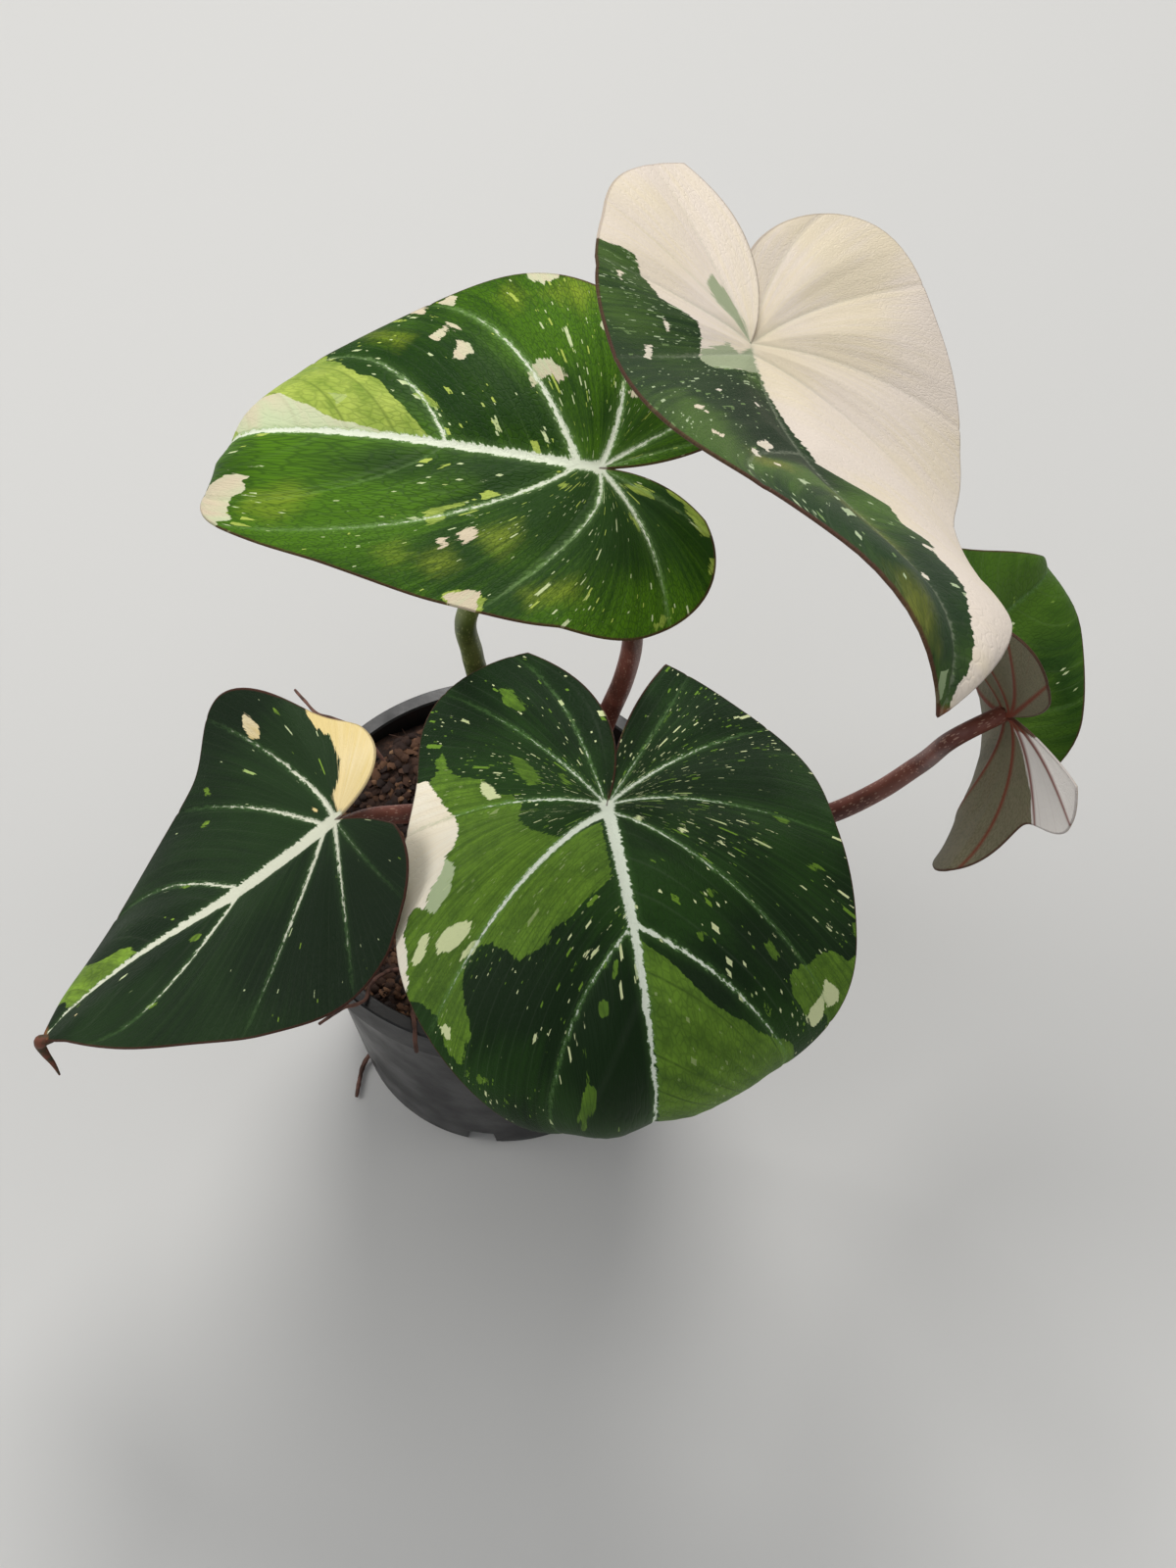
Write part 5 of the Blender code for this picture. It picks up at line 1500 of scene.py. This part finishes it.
SPECKLE_SIZE = 0.42            # the largest, as a share of a cell
SPECKLE_EDGE = 0.05
SPECKLE_STRENGTH = 0.6
PORE_GRAIN = (0.8, 3.0)
STALK_RELIEF = (0.35, 0.0003)


def stalk_material(name, ground, flush, speckle):
    """A stalk's skin: a mottled flush with pale speckles that run along it."""
    mat, tree, shader = new_material(name, STALK_ROUGHNESS)
    skin = add_node(tree, "ShaderNodeUVMap", uv_map="skin").outputs[0]
    dashes = add_node(tree, "ShaderNodeVectorMath", [(0, skin), (1, (1.0, SPECKLE_SQUEEZE, 0.0))],
                      operation="MULTIPLY").outputs[0]
    cells = add_node(tree, "ShaderNodeTexVoronoi", [("Vector", dashes), ("Scale", SPECKLE_CELLS)])
    drawn = add_node(tree, "ShaderNodeSeparateColor", [(0, cells.outputs["Color"])])
    size = maths(tree, "MULTIPLY", drawn.outputs[0], SPECKLE_SIZE)
    away = maths(tree, "SUBTRACT", cells.outputs["Distance"], size)
    spots = ramp(tree, away, SPECKLE_EDGE, -SPECKLE_EDGE)
    flushed = ramp(tree, noise(tree, object_place(tree), *FLUSH_GRAIN), *FLUSH_SPREAD)
    colour = mix_colour(tree, maths(tree, "MULTIPLY", spots, SPECKLE_STRENGTH),
                        mix_colour(tree, flushed, ground, flush), speckle)
    tree.links.new(colour, shader.inputs["Base Color"])
    bump(tree, shader, maths(tree, "ADD", spots, noise(tree, dashes, *PORE_GRAIN)), *STALK_RELIEF)
    return mat


stalk_skins = {"petiole": stalk_material("red_stalk", *STALK_RED),
               "petiole_green": stalk_material("olive_stalk", *STALK_OLIVE)}
for number, leaf in LEAVES.items():
    seat = np.array([STALK_SEAT])
    way = blade_normal(leaf, np.array([0.0]), seat)[0]
    drop = BLADE_THICKNESS / 2 + STALK_SEAT_GAP + STALK_SIDE_ON.get(number, 0.0)
    end = bend(leaf, np.array([0.0]), seat)[0] - way * drop
    straight = () if number in STALK_SIDE_ON else STALK_STRAIGHT
    last = [tuple(end - way * back) for back in (*straight, 0.0)]
    path = smooth_path((*STALK_ROUTES[number], *last), STALK_RINGS)
    share = np.linspace(0.0, 1.0, STALK_RINGS)
    radii = STALK_RADIUS * (STALK_BASE + (STALK_TOP - STALK_BASE) * share)
    stalk = tube("stalk_%d" % number, path, radii, STALK_SIDES, end_dome=STALK_DOME)
    slot = "petiole_green" if number in OLIVE_STALKS else "petiole"
    stalk.data.materials.append(stalk_skins[slot])
    register(stalk, slot, "petiole_%d" % number)

# ---- Roots ----
# Thin dry roots: three creep out of the mix and over the rim, one of them forked, and one comes out of
# a drainage notch at the foot of the pot.
ROOT_RINGS = 70
ROOT_SIDES = 12
ROOT_RADIUS = {"back": 0.6, "forked": 0.65, "rim": 0.8, "drain": 0.8}
ROOT_ROUTES = {
    "back": ((-28, 28, 86), (-33, 33, 96.5), (-38, 38, 101), (-41, 41, 101.6), (-45, 44, 101.6),
             (-49, 46, 101.2), (-53, 48, 100), (-58, 55, 96.5), (-61.5, 61.5, 92)),
    "forked": ((-24, -28, 84), (-27, -33, 94), (-31, -37, 100), (-35, -42, 102), (-36, -46, 101.6),
               (-39, -47.5, 101), (-42, -47.5, 99.5), (-45, -48, 96.5), (-49.5, -49, 92)),
    "rim": ((-24, -37, 84), (-23.5, -42, 94), (-23, -46.5, 100), (-22.5, -51, 102), (-22, -55, 102),
            (-21.8, -59, 100.6), (-21.5, -60.5, 98)),
    "drain": ((-33, -13.3, 6), (-38, -15.4, 4), (-42, -17, 2.4), (-43.8, -20, 1.5), (-44.8, -25, 1.4),
              (-45.5, -30.5, 1.4)),
}
ROOT_FOOT = 1.1                # share of the radius at the foot, and how much of it is lost on the way
ROOT_TAPER = 0.35
KNOB_HEIGHT = 0.12             # as a share of the radius
KNOB_TURNS = (41, 17)          # radians over the root's length, of two waves that make the knobs
ROOT_FORK = ((-41.5, -47.5, 99.8), (-41, -45.5, 101.2), (-40.2, -43.6, 102.2))
FORK_RINGS = 20
FORK_RADII = (0.6, 0.4)
ROOT_ROUGHNESS = 0.75
ROOT_TONES = (srgb(74, 50, 40), srgb(120, 84, 72))
ROOT_GRAIN, ROOT_SPREAD = (260.0, 4.0, 0.5), (0.4, 0.62)
WRINKLE_GRAIN = (1500.0, 4.0, 0.7)
ROOT_RELIEF = (0.5, 0.0003)

root_skin, tree, shader, _ = mottled_material(
    "dry_root", ROOT_ROUGHNESS, ROOT_TONES, ROOT_GRAIN, ROOT_SPREAD)
bump(tree, shader, noise(tree, object_place(tree), *WRINKLE_GRAIN), *ROOT_RELIEF)
share = np.linspace(0.0, 1.0, ROOT_RINGS)
for name, route in ROOT_ROUTES.items():
    wave, beat = KNOB_TURNS
    knobs = 1 + KNOB_HEIGHT * np.sin(share * wave + len(name)) * np.sin(share * beat)
    radii = ROOT_RADIUS[name] * (ROOT_FOOT - ROOT_TAPER * share) * knobs
    root = tube("root_%s_skin" % name, smooth_path(route, ROOT_RINGS), radii, ROOT_SIDES)
    root.data.materials.append(root_skin)
    register(root, "root", "root_" + name)
fork_path = smooth_path(ROOT_FORK, FORK_RINGS)
fork = tube("root_fork_skin", fork_path, np.linspace(*FORK_RADII, FORK_RINGS), ROOT_SIDES)
fork.data.materials.append(root_skin)
register(fork, "root", "root_forked")
